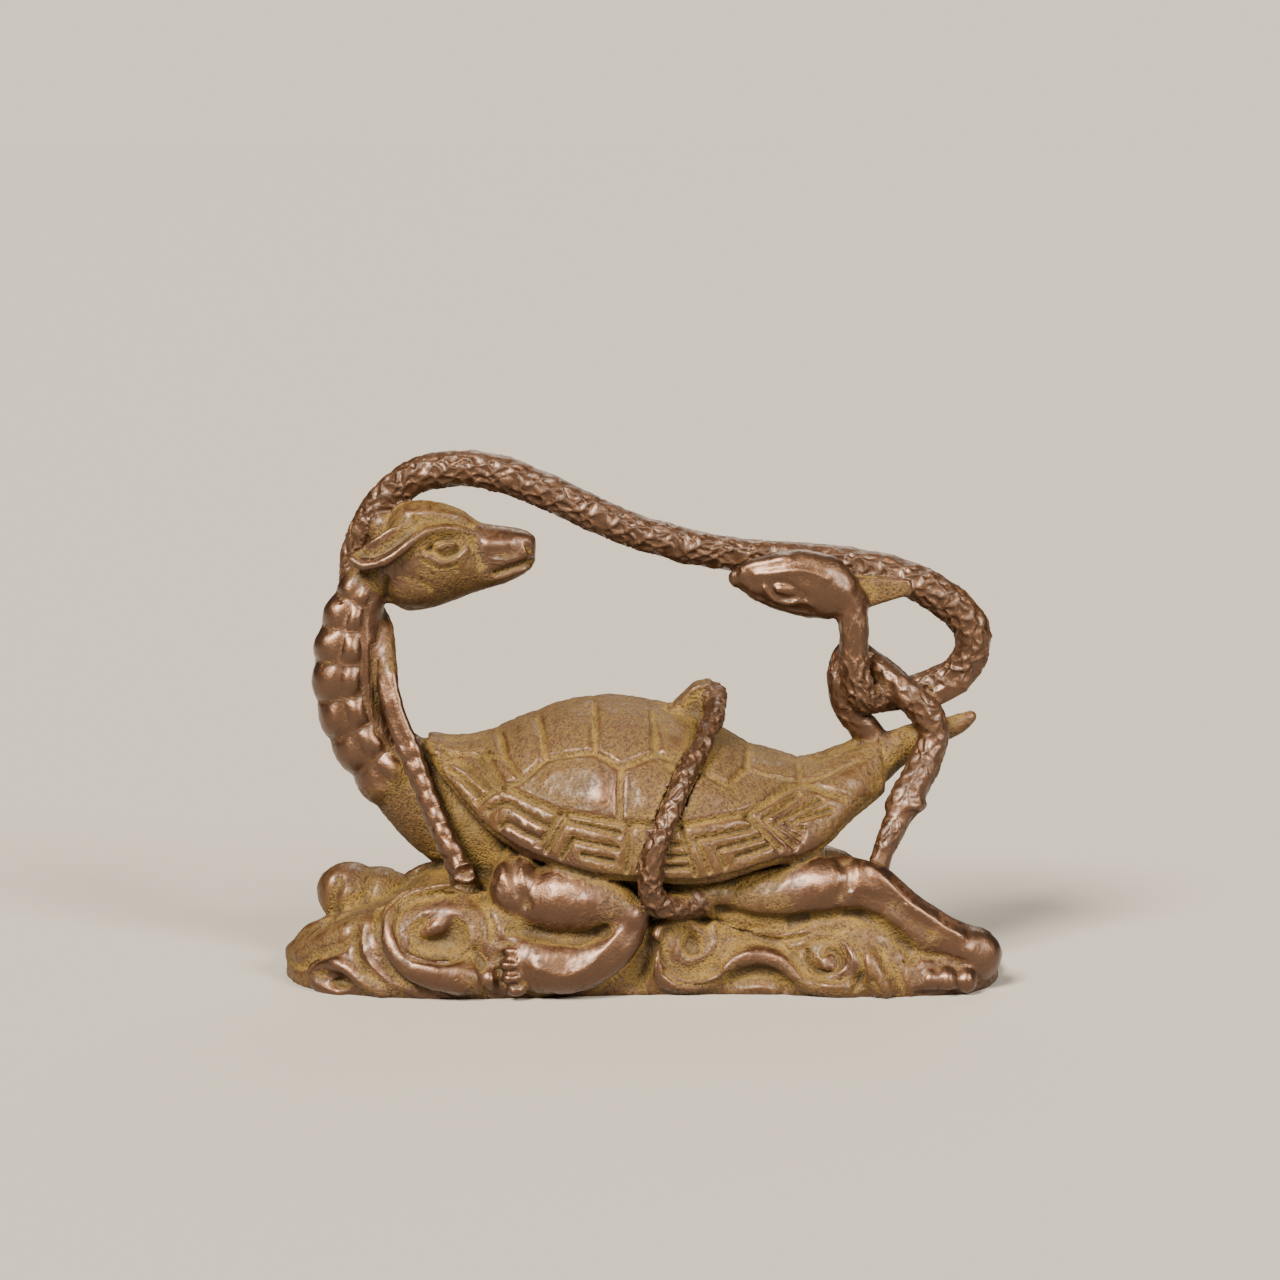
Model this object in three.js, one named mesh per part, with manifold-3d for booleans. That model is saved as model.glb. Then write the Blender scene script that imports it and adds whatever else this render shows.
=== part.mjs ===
// Bronze tortoise entwined with a snake, cast in one with its scrolled cloud base.
// Millimetres, +Z up. The neck rises at -X and the head looks back along +X. The front is at -Y.
import * as THREE from "three";
import { mergeVertices } from "three/addons/utils/BufferGeometryUtils.js";
import Module from "manifold-3d";

const wasm = await Module();
wasm.setup();

// Shell stations, each [x, half width at the rim, height of the rim, height of the ridge].
const SHELL = [
  [-34, 1.5, 35.4, 36],
  [-32, 6, 34.4, 35.8],
  [-29.5, 10, 31.9, 35.4],
  [-25, 14, 27.1, 36],
  [-19.5, 17.5, 23.5, 38.4],
  [-14.5, 19.5, 21.6, 40.4],
  [-9.5, 21, 20.3, 41.7],
  [-4.5, 21.8, 19.6, 42.1],
  [3.5, 22, 19, 40.8],
  [9.5, 21.7, 18.9, 38.5],
  [14.5, 20.5, 19.8, 35.6],
  [19.5, 18.8, 21, 33.5],
  [26, 15, 21.8, 32.5],
  [31.5, 10.5, 25.9, 34],
  [37.5, 4, 29.8, 36],
];
const RIM_THICKNESS = 1.6;
const SCUTE_RISE = 0.55;
const FRET_RISE = 0.8;
const FRET_FLOOR = 0.2;
const GROOVE = 0.55;

// Angles round the shell, from the ridge, of the seam below the middle scutes, at its notches and at
// its points, and of the seam above the rim.
const NOTCH = 43;
const POINT = 50;
const BORDER = 70;

// Seams that cross the shell, from front to back: x at the ridge, at the zigzag, at the border and at
// the rim, the angle of the zigzag, and whether they part the middle, the side and the rim scutes.
const SEAMS = [
  [-26.5, -26.5, -27, -28, NOTCH, 0, 0, 0],
  [-22.5, -22.5, -20.5, -25, NOTCH, 1, 0, 1],
  [-18.5, -18.5, -18.5, -19, POINT, 0, 1, 0],
  [-15, -15.2, -12.5, -15.5, NOTCH, 1, 0, 1],
  [-7.3, -7.6, -8, -9, NOTCH, 1, 0, 0],
  [-3, -3.3, -3, -3, POINT, 0, 1, 1],
  [1.6, 1.8, 2, 2, NOTCH, 1, 0, 0],
  [9, 9, 6, 8, NOTCH, 1, 0, 1],
  [13, 13, 16, 21.5, POINT, 0, 1, 1],
  [16.5, 16.7, 20, 25, NOTCH, 1, 0, 0],
  [24, 24, 25, 28.5, NOTCH, 1, 0, 0],
  [30, 30, 32, 34, POINT, 0, 0, 0],
];

// Base stations, each [x, half depth at the foot, height of the near shoulder].
const PLINTH = [
  [-55, 5, 3],
  [-53, 12, 5],
  [-48, 17.5, 9],
  [-40, 21, 12.5],
  [-30, 22.6, 15.2],
  [-18, 22, 14],
  [-6, 20.4, 12.5],
  [6, 19.6, 12],
  [18, 19.6, 9],
  [30, 20.8, 9.5],
  [40, 21, 8],
  [48, 19.5, 5.5],
  [53, 14, 4],
  [55, 7, 3],
];
// Profile of the base from its foot to its back: [inset as a part of the half depth, part of the height].
const PLINTH_PROFILE = [
  [0.03, 0],
  [0, 0.12],
  [0.02, 0.4],
  [0.06, 0.7],
  [0.14, 0.9],
  [0.32, 1],
];
const FAR_HEIGHT = 0.75;
const THROAT_RISE = 0.9;

// Centre lines, each point [x, y, z, radius].
const SNAKE_BODY = [
  [-41.5, 1, 53.5, 2],
  [-43.5, 3.5, 58, 2.2],
  [-44.4, 3.5, 62.1, 2.3],
  [-42.9, 3, 67.7, 2.4],
  [-39.5, 2.5, 72.8, 2.6],
  [-34.9, 2, 76.4, 2.75],
  [-29.4, 1.5, 77.7, 2.8],
  [-22.9, 1, 77.3, 2.8],
  [-15.4, 1, 74.6, 2.7],
  [-8, 1, 71.1, 2.65],
  [0, 1, 67.8, 2.6],
  [8, 1.5, 65.6, 2.6],
  [16, 2, 64.2, 2.6],
  [24, 2, 63.7, 2.6],
  [32, 1.5, 63, 2.6],
  [39.9, 0.5, 61.2, 2.7],
  [46.4, 0, 57.9, 2.8],
  [50.3, 0, 54, 2.75],
  [51, 0, 50.4, 2.7],
  [49.1, 0.5, 46.6, 2.6],
  [44.7, 1, 44.3, 2.4],
  [40.7, 1, 43, 2.2],
  [37, -1.5, 42.5, 2.2],
  [34, -3.8, 43, 2.2],
  [32.8, -4.2, 46, 2.2],
  [32.4, -4.2, 49.5, 2.2],
  [32.4, -4, 53.5, 2.3],
  [31.8, -3.5, 56.9, 2.6],
  [30, -3.5, 59.4, 3],
];
const SNAKE_HEAD = [
  [32, -3.5, 57.6, 2.8],
  [30.3, -3.5, 58.6, 4.2],
  [27.3, -3.5, 60, 5.2],
  [23.8, -3.5, 60.8, 5.1],
  [19.8, -3.5, 61.1, 4.3],
  [16.4, -3.5, 61.4, 2.9],
  [14.5, -3.5, 61.3, 1.5],
];
const SNAKE_TAIL = [
  [36.1, 0, 35.2, 2.5],
  [34.7, -0.3, 37.3, 2.3],
  [31.9, -0.8, 40.9, 2.3],
  [30.8, -1, 44.5, 2.2],
  [30.9, -0.5, 48, 2],
  [32.5, 0.3, 49.7, 1.9],
  [35, 0.3, 48.1, 2],
  [37.9, -1.5, 46, 2.2],
  [40.8, -3.5, 43.3, 2.3],
  [43.7, -3.8, 40.4, 2.5],
  [44.8, -4, 37.4, 2.4],
  [43.8, -5, 34, 2.4],
  [42.1, -6.5, 30.8, 2.5],
  [40.5, -8, 28, 2.7],
  [39, -9.5, 25.3, 2],
  [37.7, -11, 22.6, 1.8],
  [36.5, -12, 20.1, 1.6],
  [35.8, -12.5, 17, 1.6],
];
const SNAKE_ON_NECK = [
  [-43, 3.5, 57.5, 2],
  [-41.7, 3.5, 55.5, 1.9],
  [-40, 0, 52.5, 1.8],
  [-39.3, -2.6, 48.8, 1.7],
  [-38.6, -4.6, 44.5, 1.6],
  [-37.4, -6, 40.3, 1.6],
  [-36, -7, 36.9, 1.65],
  [-33.3, -9, 30.2, 1.7],
  [-30.5, -11, 23.6, 1.75],
  [-28.7, -12.2, 20.3, 1.8],
  [-26.6, -13, 15, 1.9],
];
const SNAKE_BAND = [
  [11, -10, 15.5, 2.2],
  [9.4, -14, 15, 2.1],
  [7.8, -17, 13.8, 2],
  [4.9, -19.5, 13.6, 1.9],
  [2.2, -21, 14.6, 1.9],
  [1.2, -22.3, 17.8, 1.7],
  [1.8, -23, 22, 1.5],
  [2.9, -22.6, 25.3, 1.4],
  [4.3, -21.2, 28.6, 1.4],
  [5.7, -19.2, 31.6, 1.4],
  [7.6, -15.8, 35, 1.4],
  [9.7, -11.3, 38.2, 1.4],
  [11.2, -6, 41.2, 1.5],
  [11.2, -1, 42.9, 1.7],
  [10.7, 4, 41.8, 1.6],
];
const TORTOISE_TAIL = [
  [30, 0, 30, 4.5],
  [34.2, 0, 31.7, 4.5],
  [38.2, 0, 33.9, 3.2],
  [42.2, 0, 35.9, 2.4],
  [46.2, 0.2, 37.2, 1.9],
  [49.2, 0.4, 38.3, 1.5],
  [50.8, 0.5, 39.3, 1],
];
const NECK = [
  [-39, 0, 63, 3.6],
  [-42.2, 0, 60, 3.6],
  [-44.1, 0, 56, 4.4],
  [-44.9, 0, 50.4, 5.6],
  [-45, 0, 44.4, 5.8],
  [-43.6, 0, 38.8, 5.7],
  [-40.4, 0, 33.7, 5.9],
  [-35.6, 0, 29, 6.6],
  [-29.4, 0, 24, 7.8],
  [-21.5, 0, 20.5, 9.6],
];
// Head of the tortoise: [x, z, half height, half width].
const HEAD = [
  [-41.5, 60.5, 3.4, 2.8],
  [-39.5, 62.1, 5, 4.4],
  [-36.9, 63.8, 7.9, 5.5],
  [-32.9, 64.7, 8.3, 6],
  [-28.9, 64.9, 7.3, 5.6],
  [-24.9, 64.4, 5.3, 4.6],
  [-20.9, 64.6, 4.3, 3.7],
  [-17.8, 65.1, 3.2, 3],
  [-16.4, 65.4, 1.8, 1.9],
];
const EAR = [
  [-44, -4.4, 64.8, 0.7],
  [-41.2, -4.8, 65.7, 1.5],
  [-38.2, -4.6, 67.1, 2],
  [-35.2, -4.3, 68.5, 1.8],
  [-33, -4, 69.2, 1],
];
const BROW = [
  [-44.2, -5, 64.4, 0.8],
  [-42, -6.1, 63.8, 1],
  [-39.4, -6.6, 64.3, 1.05],
  [-36.8, -6.4, 65.9, 0.95],
  [-34.4, -5.9, 67.8, 0.8],
  [-30.4, -5.2, 69.1, 0.75],
  [-25.6, -3.6, 68.4, 0.5],
];
const MOUTH = [
  [-22.6, -4, 62.5, 0.3],
  [-19.6, -3.5, 63.2, 0.4],
  [-17, -2.5, 63.9, 0.45],
  [-15.6, 0, 64.2, 0.45],
];
const THIGH_FRONT = [
  [-12, -8, 20, 6],
  [-17.8, -12.5, 16.8, 5],
  [-16.9, -15.4, 13.8, 4.9],
  [-12.2, -16.6, 14, 6],
  [-5.9, -18, 13.6, 5],
  [-2.2, -19.3, 12, 3.4],
];
const SHANK_FRONT = [
  [-1.8, -19.4, 12.2, 2.8],
  [-3, -20.8, 9, 3],
  [-6.5, -21.8, 6, 3.3],
  [-11, -21.8, 4.6, 3.8],
  [-15, -21.4, 5, 4.2],
  [-17, -20.6, 5.6, 4.1],
];
const TOES_FRONT = [
  [-18.4, -20, 9],
  [-18.8, -21.8, 7.4],
  [-19.2, -23, 5.6],
  [-19, -23.4, 3.7],
  [-18, -23.2, 1.8],
];
const LEG_HIND = [
  [9.9, -12, 13.7, 4.6],
  [19.7, -14, 13.8, 5],
  [27.5, -15, 15.4, 5],
  [33.9, -15.5, 15.6, 4.2],
  [38.8, -15.6, 11.6, 4.2],
  [43.7, -15.6, 8.3, 4.1],
  [48.6, -15, 5.6, 4.4],
  [50.4, -14.4, 5, 4.4],
];
const TOES_HIND = [
  [41.6, -18.6, 2.2],
  [44.4, -19.4, 2.4],
  [47.4, -19.4, 2.4],
  [50.2, -18, 2.2],
];
// Scrolls on the near flank of the base, each point [x, z, radius].
const SWIRL = [
  [-29, 16.4, 0.6],
  [-32.8, 15.7, 0.8],
  [-36.2, 14.3, 1],
  [-38, 12, 1.3],
  [-38, 9.4, 1.7],
  [-36.7, 6.8, 2.2],
  [-34, 5, 2.6],
  [-31, 4, 2.8],
  [-27.5, 3.5, 2.8],
  [-24.2, 3.1, 2.4],
];
const SWIRL_BUD = [
  [-32.6, 9.8, 1],
  [-30.6, 10.7, 1.5],
  [-28.2, 13.2, 1.1],
];
const BUD_DEPTH = 1.4;
const RING = [
  [-39, 0.8, 1],
  [-42.2, 2.4, 1.1],
  [-45.2, 4.4, 1.2],
  [-48.4, 4.2, 1.2],
  [-49.8, 2.4, 1.2],
  [-48.6, 0.8, 1.2],
  [-45.6, 0.4, 1.2],
];
const WAVE = [
  [8.6, 7.4, 0.7],
  [8.2, 9.4, 0.8],
  [6, 10.6, 1],
  [3.2, 10.2, 1.2],
  [1.9, 7.6, 1.3],
  [2.2, 4.2, 1.4],
  [4, 2.2, 1.4],
  [8, 1.8, 1.3],
  [11.7, 3, 1.2],
  [14.6, 4.9, 1.2],
  [17.8, 5.5, 1.2],
  [20.8, 4.6, 1.3],
  [23, 2.6, 1.3],
  [26, 1.5, 1.3],
  [31.5, 1.1, 1.2],
];
const SPIRAL = [
  [22.8, 7.2, 0.7],
  [26.4, 8.9, 1],
  [30.2, 8.7, 1.1],
  [31.9, 6.2, 1.1],
  [30.4, 3.9, 1],
  [27.8, 4.2, 0.9],
  [27.4, 6, 0.8],
];
const LOBES = [
  [33.6, 8.5, 1.4],
  [34.2, 5, 2],
  [36.2, 1.5, 1.8],
];
const RECESS = [
  [-1.6, -22.6, -2, 2.2],
  [-0.6, -20.6, 3, 2.1],
  [1.2, -19.4, 7.6, 1.4],
];
const FLAPS = [
  [-53, -6, 3.4, 2.2],
  [-49.5, -8, 5.4, 3.6],
  [-44.5, -8, 6.6, 4],
];

// Closed solid from points and triangles, turned outwards.
function solid(points, triangles) {
  const corners = triangles.map((t) => t.map((i) => points[i]));
  const volume = corners.reduce((sum, [a, b, c]) => sum + a.dot(new THREE.Vector3().crossVectors(b, c)), 0);
  const outward = volume < 0 ? triangles.map(([a, b, c]) => [a, c, b]) : triangles;
  return new wasm.Manifold(
    new wasm.Mesh({
      numProp: 3,
      vertProperties: new Float32Array(points.flatMap((p) => [p.x, p.y, p.z])),
      triVerts: new Uint32Array(outward.flat()),
    }),
  );
}

// Skin over rings of equal length, closed by a fan at each end.
function loft(rings) {
  const n = rings[0].length;
  const points = rings.flat();
  const triangles = [];
  for (let r = 0; r + 1 < rings.length; r++) {
    for (let i = 0; i < n; i++) {
      const [a, b] = [r * n + i, r * n + ((i + 1) % n)];
      triangles.push([a, b, b + n], [a, b + n, a + n]);
    }
  }
  for (const first of [true, false]) {
    const ring = first ? rings[0] : rings[rings.length - 1];
    const start = first ? 0 : (rings.length - 1) * n;
    const middle = ring.reduce((sum, p) => sum.add(p), new THREE.Vector3()).divideScalar(n);
    points.push(middle);
    for (let i = 0; i < n; i++) {
      const edge = [start + i, start + ((i + 1) % n)];
      triangles.push([points.length - 1, ...(first ? edge.reverse() : edge)]);
    }
  }
  return solid(points, triangles);
}

// Value of a column of a table of stations at x, straight between stations.
function along(table, x, column) {
  const last = table.length - 1;
  if (x <= table[0][0]) return table[0][column];
  if (x >= table[last][0]) return table[last][column];
  const i = table.findIndex((row) => row[0] >= x);
  const [a, b] = [table[i - 1], table[i]];
  return THREE.MathUtils.lerp(a[column], b[column], (x - a[0]) / (b[0] - a[0]));
}

// Tapered tube through points of [x, y, z, radius], with rounded ends. Side is its width over its height,
// start the angle of its first corner in degrees, and relief the rise of its skin at a point of the path
// and an angle.
function tube(path, { sides = 7, steps = 1, side = 1, start = 0, relief = () => 0 } = {}) {
  const curve = new THREE.CatmullRomCurve3(path.map(([x, y, z]) => new THREE.Vector3(x, y, z)));
  const count = (path.length - 1) * steps;
  const rings = [];
  let normal = new THREE.Vector3(0, 1, 0);
  for (let k = 0; k <= count; k++) {
    const centre = curve.getPoint(k / count);
    const tangent = curve.getTangent(k / count);
    normal = normal.clone().addScaledVector(tangent, -normal.dot(tangent)).normalize();
    const up = new THREE.Vector3().crossVectors(tangent, normal);
    const i = Math.min(Math.floor(k / steps), path.length - 2);
    const radius = THREE.MathUtils.lerp(path[i][3], path[i + 1][3], k / steps - i);
    const ring = (scale, shift) =>
      Array.from({ length: sides }, (_, j) => {
        const degrees = start + (360 * j) / sides;
        const angle = THREE.MathUtils.degToRad(degrees);
        const reach = scale * radius + relief(k / steps, degrees);
        return centre
          .clone()
          .addScaledVector(tangent, shift * radius)
          .addScaledVector(normal, side * reach * Math.cos(angle))
          .addScaledVector(up, reach * Math.sin(angle));
      });
    if (k === 0) rings.push(ring(0.6, -0.55));
    rings.push(ring(1, 0));
    if (k === count) rings.push(ring(0.6, 0.55));
  }
  return loft(rings);
}

// Ball or egg about a centre.
function ball([x, y, z], [rx, ry, rz], sides = 8) {
  const geometry = new THREE.SphereGeometry(1, sides, Math.ceil(sides * 0.6));
  geometry.deleteAttribute("normal");
  geometry.deleteAttribute("uv");
  geometry.scale(rx, ry, rz).translate(x, y, z);
  const merged = mergeVertices(geometry, 1e-4);
  const place = merged.getAttribute("position");
  const points = Array.from({ length: place.count }, (_, i) => new THREE.Vector3().fromBufferAttribute(place, i));
  const index = Array.from(merged.index.array);
  const triangles = Array.from({ length: index.length / 3 }, (_, i) => index.slice(3 * i, 3 * i + 3));
  return solid(points, triangles);
}

// Flat web between two faces: an outline of [x, z] points at mid depth y.
function web(outline, y, thickness) {
  const ring = (at) => outline.map(([x, z]) => new THREE.Vector3(x, at, z));
  return loft([ring(y - thickness / 2), ring(y + thickness / 2)]);
}

function mirrored(path) {
  return path.map(([x, y, ...rest]) => [x, -y, ...rest]);
}

// Every other point of a path.
function thinned(path) {
  return path.filter((_, i) => i % 2 === 0);
}

// The same path moved by x and z.
function moved(path, dx, dz) {
  return path.map(([x, y, z, ...rest]) => [x + dx, y, z + dz, ...rest]);
}

// Path of [x, z, radius] laid on the near flank of the base.
function onFlank(path) {
  const insets = PLINTH_PROFILE.map(([inset, part]) => [part, inset]);
  return path.map(([x, z, radius]) => {
    const part = Math.min(z / along(PLINTH, x, 2), 0.96);
    return [x, -along(PLINTH, x, 1) * (1 - along(insets, part, 1)), z, radius];
  });
}

// Point of the shell at x and an angle from the ridge in degrees, raised along its normal.
function onShell(x, angle, rise = 0) {
  const at = (px, pa) => {
    const [half, low, high] = [1, 2, 3].map((column) => along(SHELL, px, column));
    const turn = THREE.MathUtils.degToRad(pa);
    return new THREE.Vector3(px, half * Math.sin(turn), low + (high - low) * Math.cos(turn));
  };
  const forward = at(x + 1, angle).sub(at(x - 1, angle));
  const across = at(x, angle + 2).sub(at(x, angle - 2));
  const normal = new THREE.Vector3().crossVectors(forward, across).normalize();
  return at(x, angle).addScaledVector(normal, rise);
}

// Dome of the shell, with its scutes and the frets of its near rim, on an even wall at the rim. The far
// rim is a plain raised border.
function shell() {
  const row = (zone, part, rise) => ({ zone, part, rise });
  const half = [
    row(0, 0.5, SCUTE_RISE),
    row(0, 0.95, SCUTE_RISE),
    row(0, 1, 0),
    row(1, 0.1, SCUTE_RISE),
    row(1, 0.92, SCUTE_RISE),
    row(1, 1, 0),
    ...[0.12, 0.56].flatMap((part) => [row(2, part, FRET_RISE), row(2, part + 0.22, FRET_FLOOR)]),
    row(2, 1, FRET_FLOOR),
  ];
  const plain = half.filter(({ zone, part }) => zone < 2 || part === 0.12 || part > 0.7);
  const far = plain.map((r) => ({ ...r, rise: r.zone === 2 && r.part < 1 ? FRET_RISE : r.rise, way: 1 }));
  const near = half.map((r) => ({ ...r, way: -1 })).reverse();
  const rows = [...near, { ...row(0, 0, SCUTE_RISE), way: 1 }, ...far];
  const zones = (seam) => [
    [seam[0], 0, seam[1], seam[4]],
    [seam[1], seam[4], seam[2], BORDER],
    [seam[2], BORDER, seam[3], 90],
  ];
  const column = (seam, shift) => {
    const line = rows.map(({ zone, part, rise, way }) => {
      const [x0, a0, x1, a1] = zones(seam)[zone];
      const x = THREE.MathUtils.lerp(x0, x1, part) + shift;
      const parted = seam[5 + zone] && shift === 0;
      const beside = seam[7] && zone === 2 && shift !== 0;
      const lift = parted ? 0 : beside ? FRET_RISE : rise;
      return onShell(x, way * THREE.MathUtils.lerp(a0, a1, part), lift);
    });
    const x = seam[3] + shift;
    const [width, low] = [along(SHELL, x, 1), along(SHELL, x, 2)];
    line.push(new THREE.Vector3(x, width * 0.96, low - RIM_THICKNESS));
    line.push(new THREE.Vector3(x, width * -0.96, low - RIM_THICKNESS));
    return line;
  };
  const end = (x) => column([x, x, x, x, NOTCH, 0, 0, 0], 0);
  const lines = SEAMS.flatMap((seam) => {
    const parts = seam[5] || seam[6] || seam[7];
    return (parts ? [-GROOVE, 0, GROOVE] : [0]).map((shift) => column(seam, shift));
  });
  return loft([end(-34), ...lines, end(37.5)]);
}

// Mound of the base, its profile carried along x.
function plinth() {
  const rings = PLINTH.map(([x, half, height]) => {
    const side = PLINTH_PROFILE.map(([inset, part]) => [half * (1 - inset), height * part]);
    const far = side.map(([y, z]) => new THREE.Vector3(x, y, z * FAR_HEIGHT));
    const near = side.map(([y, z]) => new THREE.Vector3(x, -y, z));
    return [...near, ...far.reverse()];
  });
  return loft(rings);
}

// Plates stand out down the throat: on each side a wide one by the outer line of the neck and a small one.
function throatRelief(t, angle) {
  const round = Math.round(Math.abs(((angle - 90 + 360) % 360) - 180));
  const plated = t >= 2 && t <= 7 && t % 1 === 0;
  if (plated && (round === 30 || round === 60)) return THROAT_RISE;
  return plated && round === 120 ? THROAT_RISE / 2 : 0;
}

function head() {
  const ring = ([x, z, high, wide]) =>
    Array.from({ length: 10 }, (_, i) => {
      const turn = (2 * Math.PI * i) / 10;
      const lean = 0.25 * high * Math.sin(turn);
      return new THREE.Vector3(x - lean * (x < -30 ? 0.5 : 0), wide * Math.cos(turn), z + high * Math.sin(turn));
    });
  const parts = [loft(HEAD.map(ring))];
  for (const turn of [(path) => path, mirrored]) {
    parts.push(tube(turn(EAR), { sides: 5, side: 0.35 }));
    parts.push(tube(turn(BROW), { sides: 5 }));
    const [eye, nostril] = turn([
      [-29.6, -5.2, 66.5],
      [-17.9, -2.2, 66.4],
    ]);
    parts.push(ball(eye, [2.2, 0.8, 1.1], 5));
    parts.push(ball(nostril, [1.2, 1, 1], 4));
  }
  return parts;
}

function snake() {
  const eye = [21.8, -6.6, 60];
  return [
    tube(SNAKE_BODY, { sides: 6, start: 30 }),
    tube(SNAKE_HEAD, { sides: 10, side: 0.66 }),
    tube(SNAKE_TAIL, { sides: 6 }),
    tube(SNAKE_ON_NECK, { sides: 6 }),
    tube(SNAKE_BAND, { sides: 6 }),
    tube(thinned(mirrored(SNAKE_BAND)), { sides: 5 }),
    ball(eye, [1.7, 0.7, 0.9], 5),
    ball([eye[0], -0.4, eye[2]], [1.7, 0.7, 0.9], 4),
    ball([40.3, -8.2, 27.2], [3.3, 3, 1.5], 5),
    web([[31.4, 61.5], [34, 56.6], [41.4, 58.8], [41, 61]], -1, 4),
    web([[44, 42.4], [50, 44.8], [50.4, 48.4], [46, 45.5]], 0, 3.6),
    web([[2.6, 39], [5, 41.8], [8, 44.6], [10.4, 45.2], [12.2, 43], [10.6, 38], [8, 36]], -2.4, 4.4),
  ];
}

// The far hind leg lies lower than the near one, and the far feet are plain.
function legs() {
  const near = [tube(THIGH_FRONT, { sides: 8 }), tube(SHANK_FRONT, { sides: 7, side: 0.8 })];
  const far = [tube(mirrored(THIGH_FRONT), { sides: 6 }), tube(mirrored(SHANK_FRONT), { sides: 5, side: 0.8 })];
  const lower = (path) => moved(mirrored(path), -4, -4);
  return [
    ...near,
    ...far,
    ball([-11.5, -16, 8], [9, 5.4, 4], 6),
    ball([28, -10.5, 9.4], [16, 7.5, 6.4], 7),
    ball([-11.5, 16, 8], [9, 5.4, 4], 5),
    ball([25, 10.5, 5.6], [15, 7.5, 6], 6),
    tube(LEG_HIND, { sides: 8, side: 0.9 }),
    tube(lower(LEG_HIND), { sides: 6, side: 0.9 }),
    ...TOES_FRONT.map((at) => ball(at, [2.3, 1.2, 1], 5)),
    ...TOES_HIND.map((at) => ball(at, [1.8, 2.2, 2.1], 5)),
  ];
}

function clouds() {
  return [
    ball([-45.8, 4, 10.9], [5.2, 5.4, 4.8], 8),
    ball([-41.6, 4, 9.8], [6, 5, 4.4], 6),
    ball([-51, -2, 1.5], [4.2, 7, 4.4], 7),
    ball([33.9, -15, 6.4], [6.4, 5, 5], 7),
    ball([-27, -4, 9.8], [9.5, 16, 6], 7),
    tube(FLAPS),
    tube(onFlank(SWIRL), { sides: 7 }),
    tube(onFlank(RING), { sides: 5 }),
    tube(onFlank(WAVE), { sides: 5 }),
    tube(onFlank(SPIRAL), { sides: 5 }),
    tube(onFlank(LOBES), { sides: 5 }),
    tube(thinned(moved(mirrored(onFlank(SWIRL)), 0, -3)), { sides: 6 }),
  ];
}

// Hollows cut into the base: its dark recess and the bowls of its scrolls.
function hollows() {
  return [
    tube(RECESS),
    ball([-30.8, -22.6, 10.2], [5.6, 3.2, 4], 7),
    ball([5.2, -20, 6.6], [2.2, 1.6, 2.6], 6),
    ball([-46.3, -18.6, 2], [2.4, 1.4, 1.4], 6),
    tube(mirrored(RECESS), { sides: 5 }),
  ];
}

function joined(parts) {
  return parts.reduce((whole, part) => whole.add(part));
}

// Everything under the floor is cut off flat.
function below() {
  const ring = (z) => [[-80, -60], [80, -60], [80, 60], [-80, 60]].map(([x, y]) => new THREE.Vector3(x, y, z));
  return loft([ring(-30), ring(0)]);
}

const body = [
  ball([1, 0, 17.5], [27.5, 17.5, 14], 10),
  tube(NECK, { sides: 12, steps: 2, relief: throatRelief }),
  tube(TORTOISE_TAIL, { sides: 6 }),
];
const mouth = joined([tube(MOUTH, { sides: 5 }), tube(mirrored(MOUTH), { sides: 5 })]);
const sunk = onFlank(SWIRL_BUD).map(([x, y, ...rest]) => [x, y + BUD_DEPTH, ...rest]);
const bud = tube(sunk, { sides: 6 });
const base = joined([plinth(), ...clouds()]).subtract(joined(hollows())).add(bud);
const tortoise = joined([...body, ...legs(), shell(), joined(head()).subtract(mouth)]);
const casting = joined([base, tortoise, ...snake()]).subtract(below());

const data = casting.getMesh();
const geometry = new THREE.BufferGeometry();
geometry.setAttribute("position", new THREE.BufferAttribute(new Float32Array(data.vertProperties), 3));
geometry.setIndex(Array.from(data.triVerts));
geometry.computeBoundingBox();
const size = geometry.boundingBox;
const middle = size.getCenter(new THREE.Vector3());
geometry.translate(-middle.x, -middle.y, -size.min.z);
geometry.computeVertexNormals();

const bronze = new THREE.MeshStandardMaterial({ color: 0x6b4a2f, metalness: 0.8, roughness: 0.5 });
const group = new THREE.Group();
group.name = "tortoise_and_snake_figure";
const mesh = new THREE.Mesh(geometry, bronze);
mesh.name = "tortoise_and_snake";
group.add(mesh);

export default group;
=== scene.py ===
"""Bronze tortoise entwined with a snake on a base of scrolled clouds: one worn and dusty casting.

The casting is modelled in millimetres and set to metres at the end. +Z is up, the front is at -Y, the
neck rises at -X and the tortoise's head looks back along +X.
"""
import logging
import math
from dataclasses import dataclass
from enum import Enum
from typing import Sequence

import bpy
import numpy as np
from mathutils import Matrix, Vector
from mathutils.bvhtree import BVHTree


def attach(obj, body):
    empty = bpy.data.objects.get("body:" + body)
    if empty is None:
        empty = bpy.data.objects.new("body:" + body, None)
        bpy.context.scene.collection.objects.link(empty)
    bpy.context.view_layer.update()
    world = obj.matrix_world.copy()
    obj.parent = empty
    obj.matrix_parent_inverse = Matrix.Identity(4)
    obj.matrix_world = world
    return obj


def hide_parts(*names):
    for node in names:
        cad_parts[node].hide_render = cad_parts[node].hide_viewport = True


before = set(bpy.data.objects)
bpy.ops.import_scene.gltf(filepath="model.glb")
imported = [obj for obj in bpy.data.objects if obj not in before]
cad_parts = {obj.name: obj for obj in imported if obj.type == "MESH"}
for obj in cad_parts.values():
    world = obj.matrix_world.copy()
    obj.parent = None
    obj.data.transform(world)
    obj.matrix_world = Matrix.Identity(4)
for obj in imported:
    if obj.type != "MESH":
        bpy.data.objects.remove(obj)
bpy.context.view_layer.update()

log = logging.getLogger("casting")

METRES = 0.001
CAD_NODE = "tortoise_and_snake"
BODY = "root"

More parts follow.
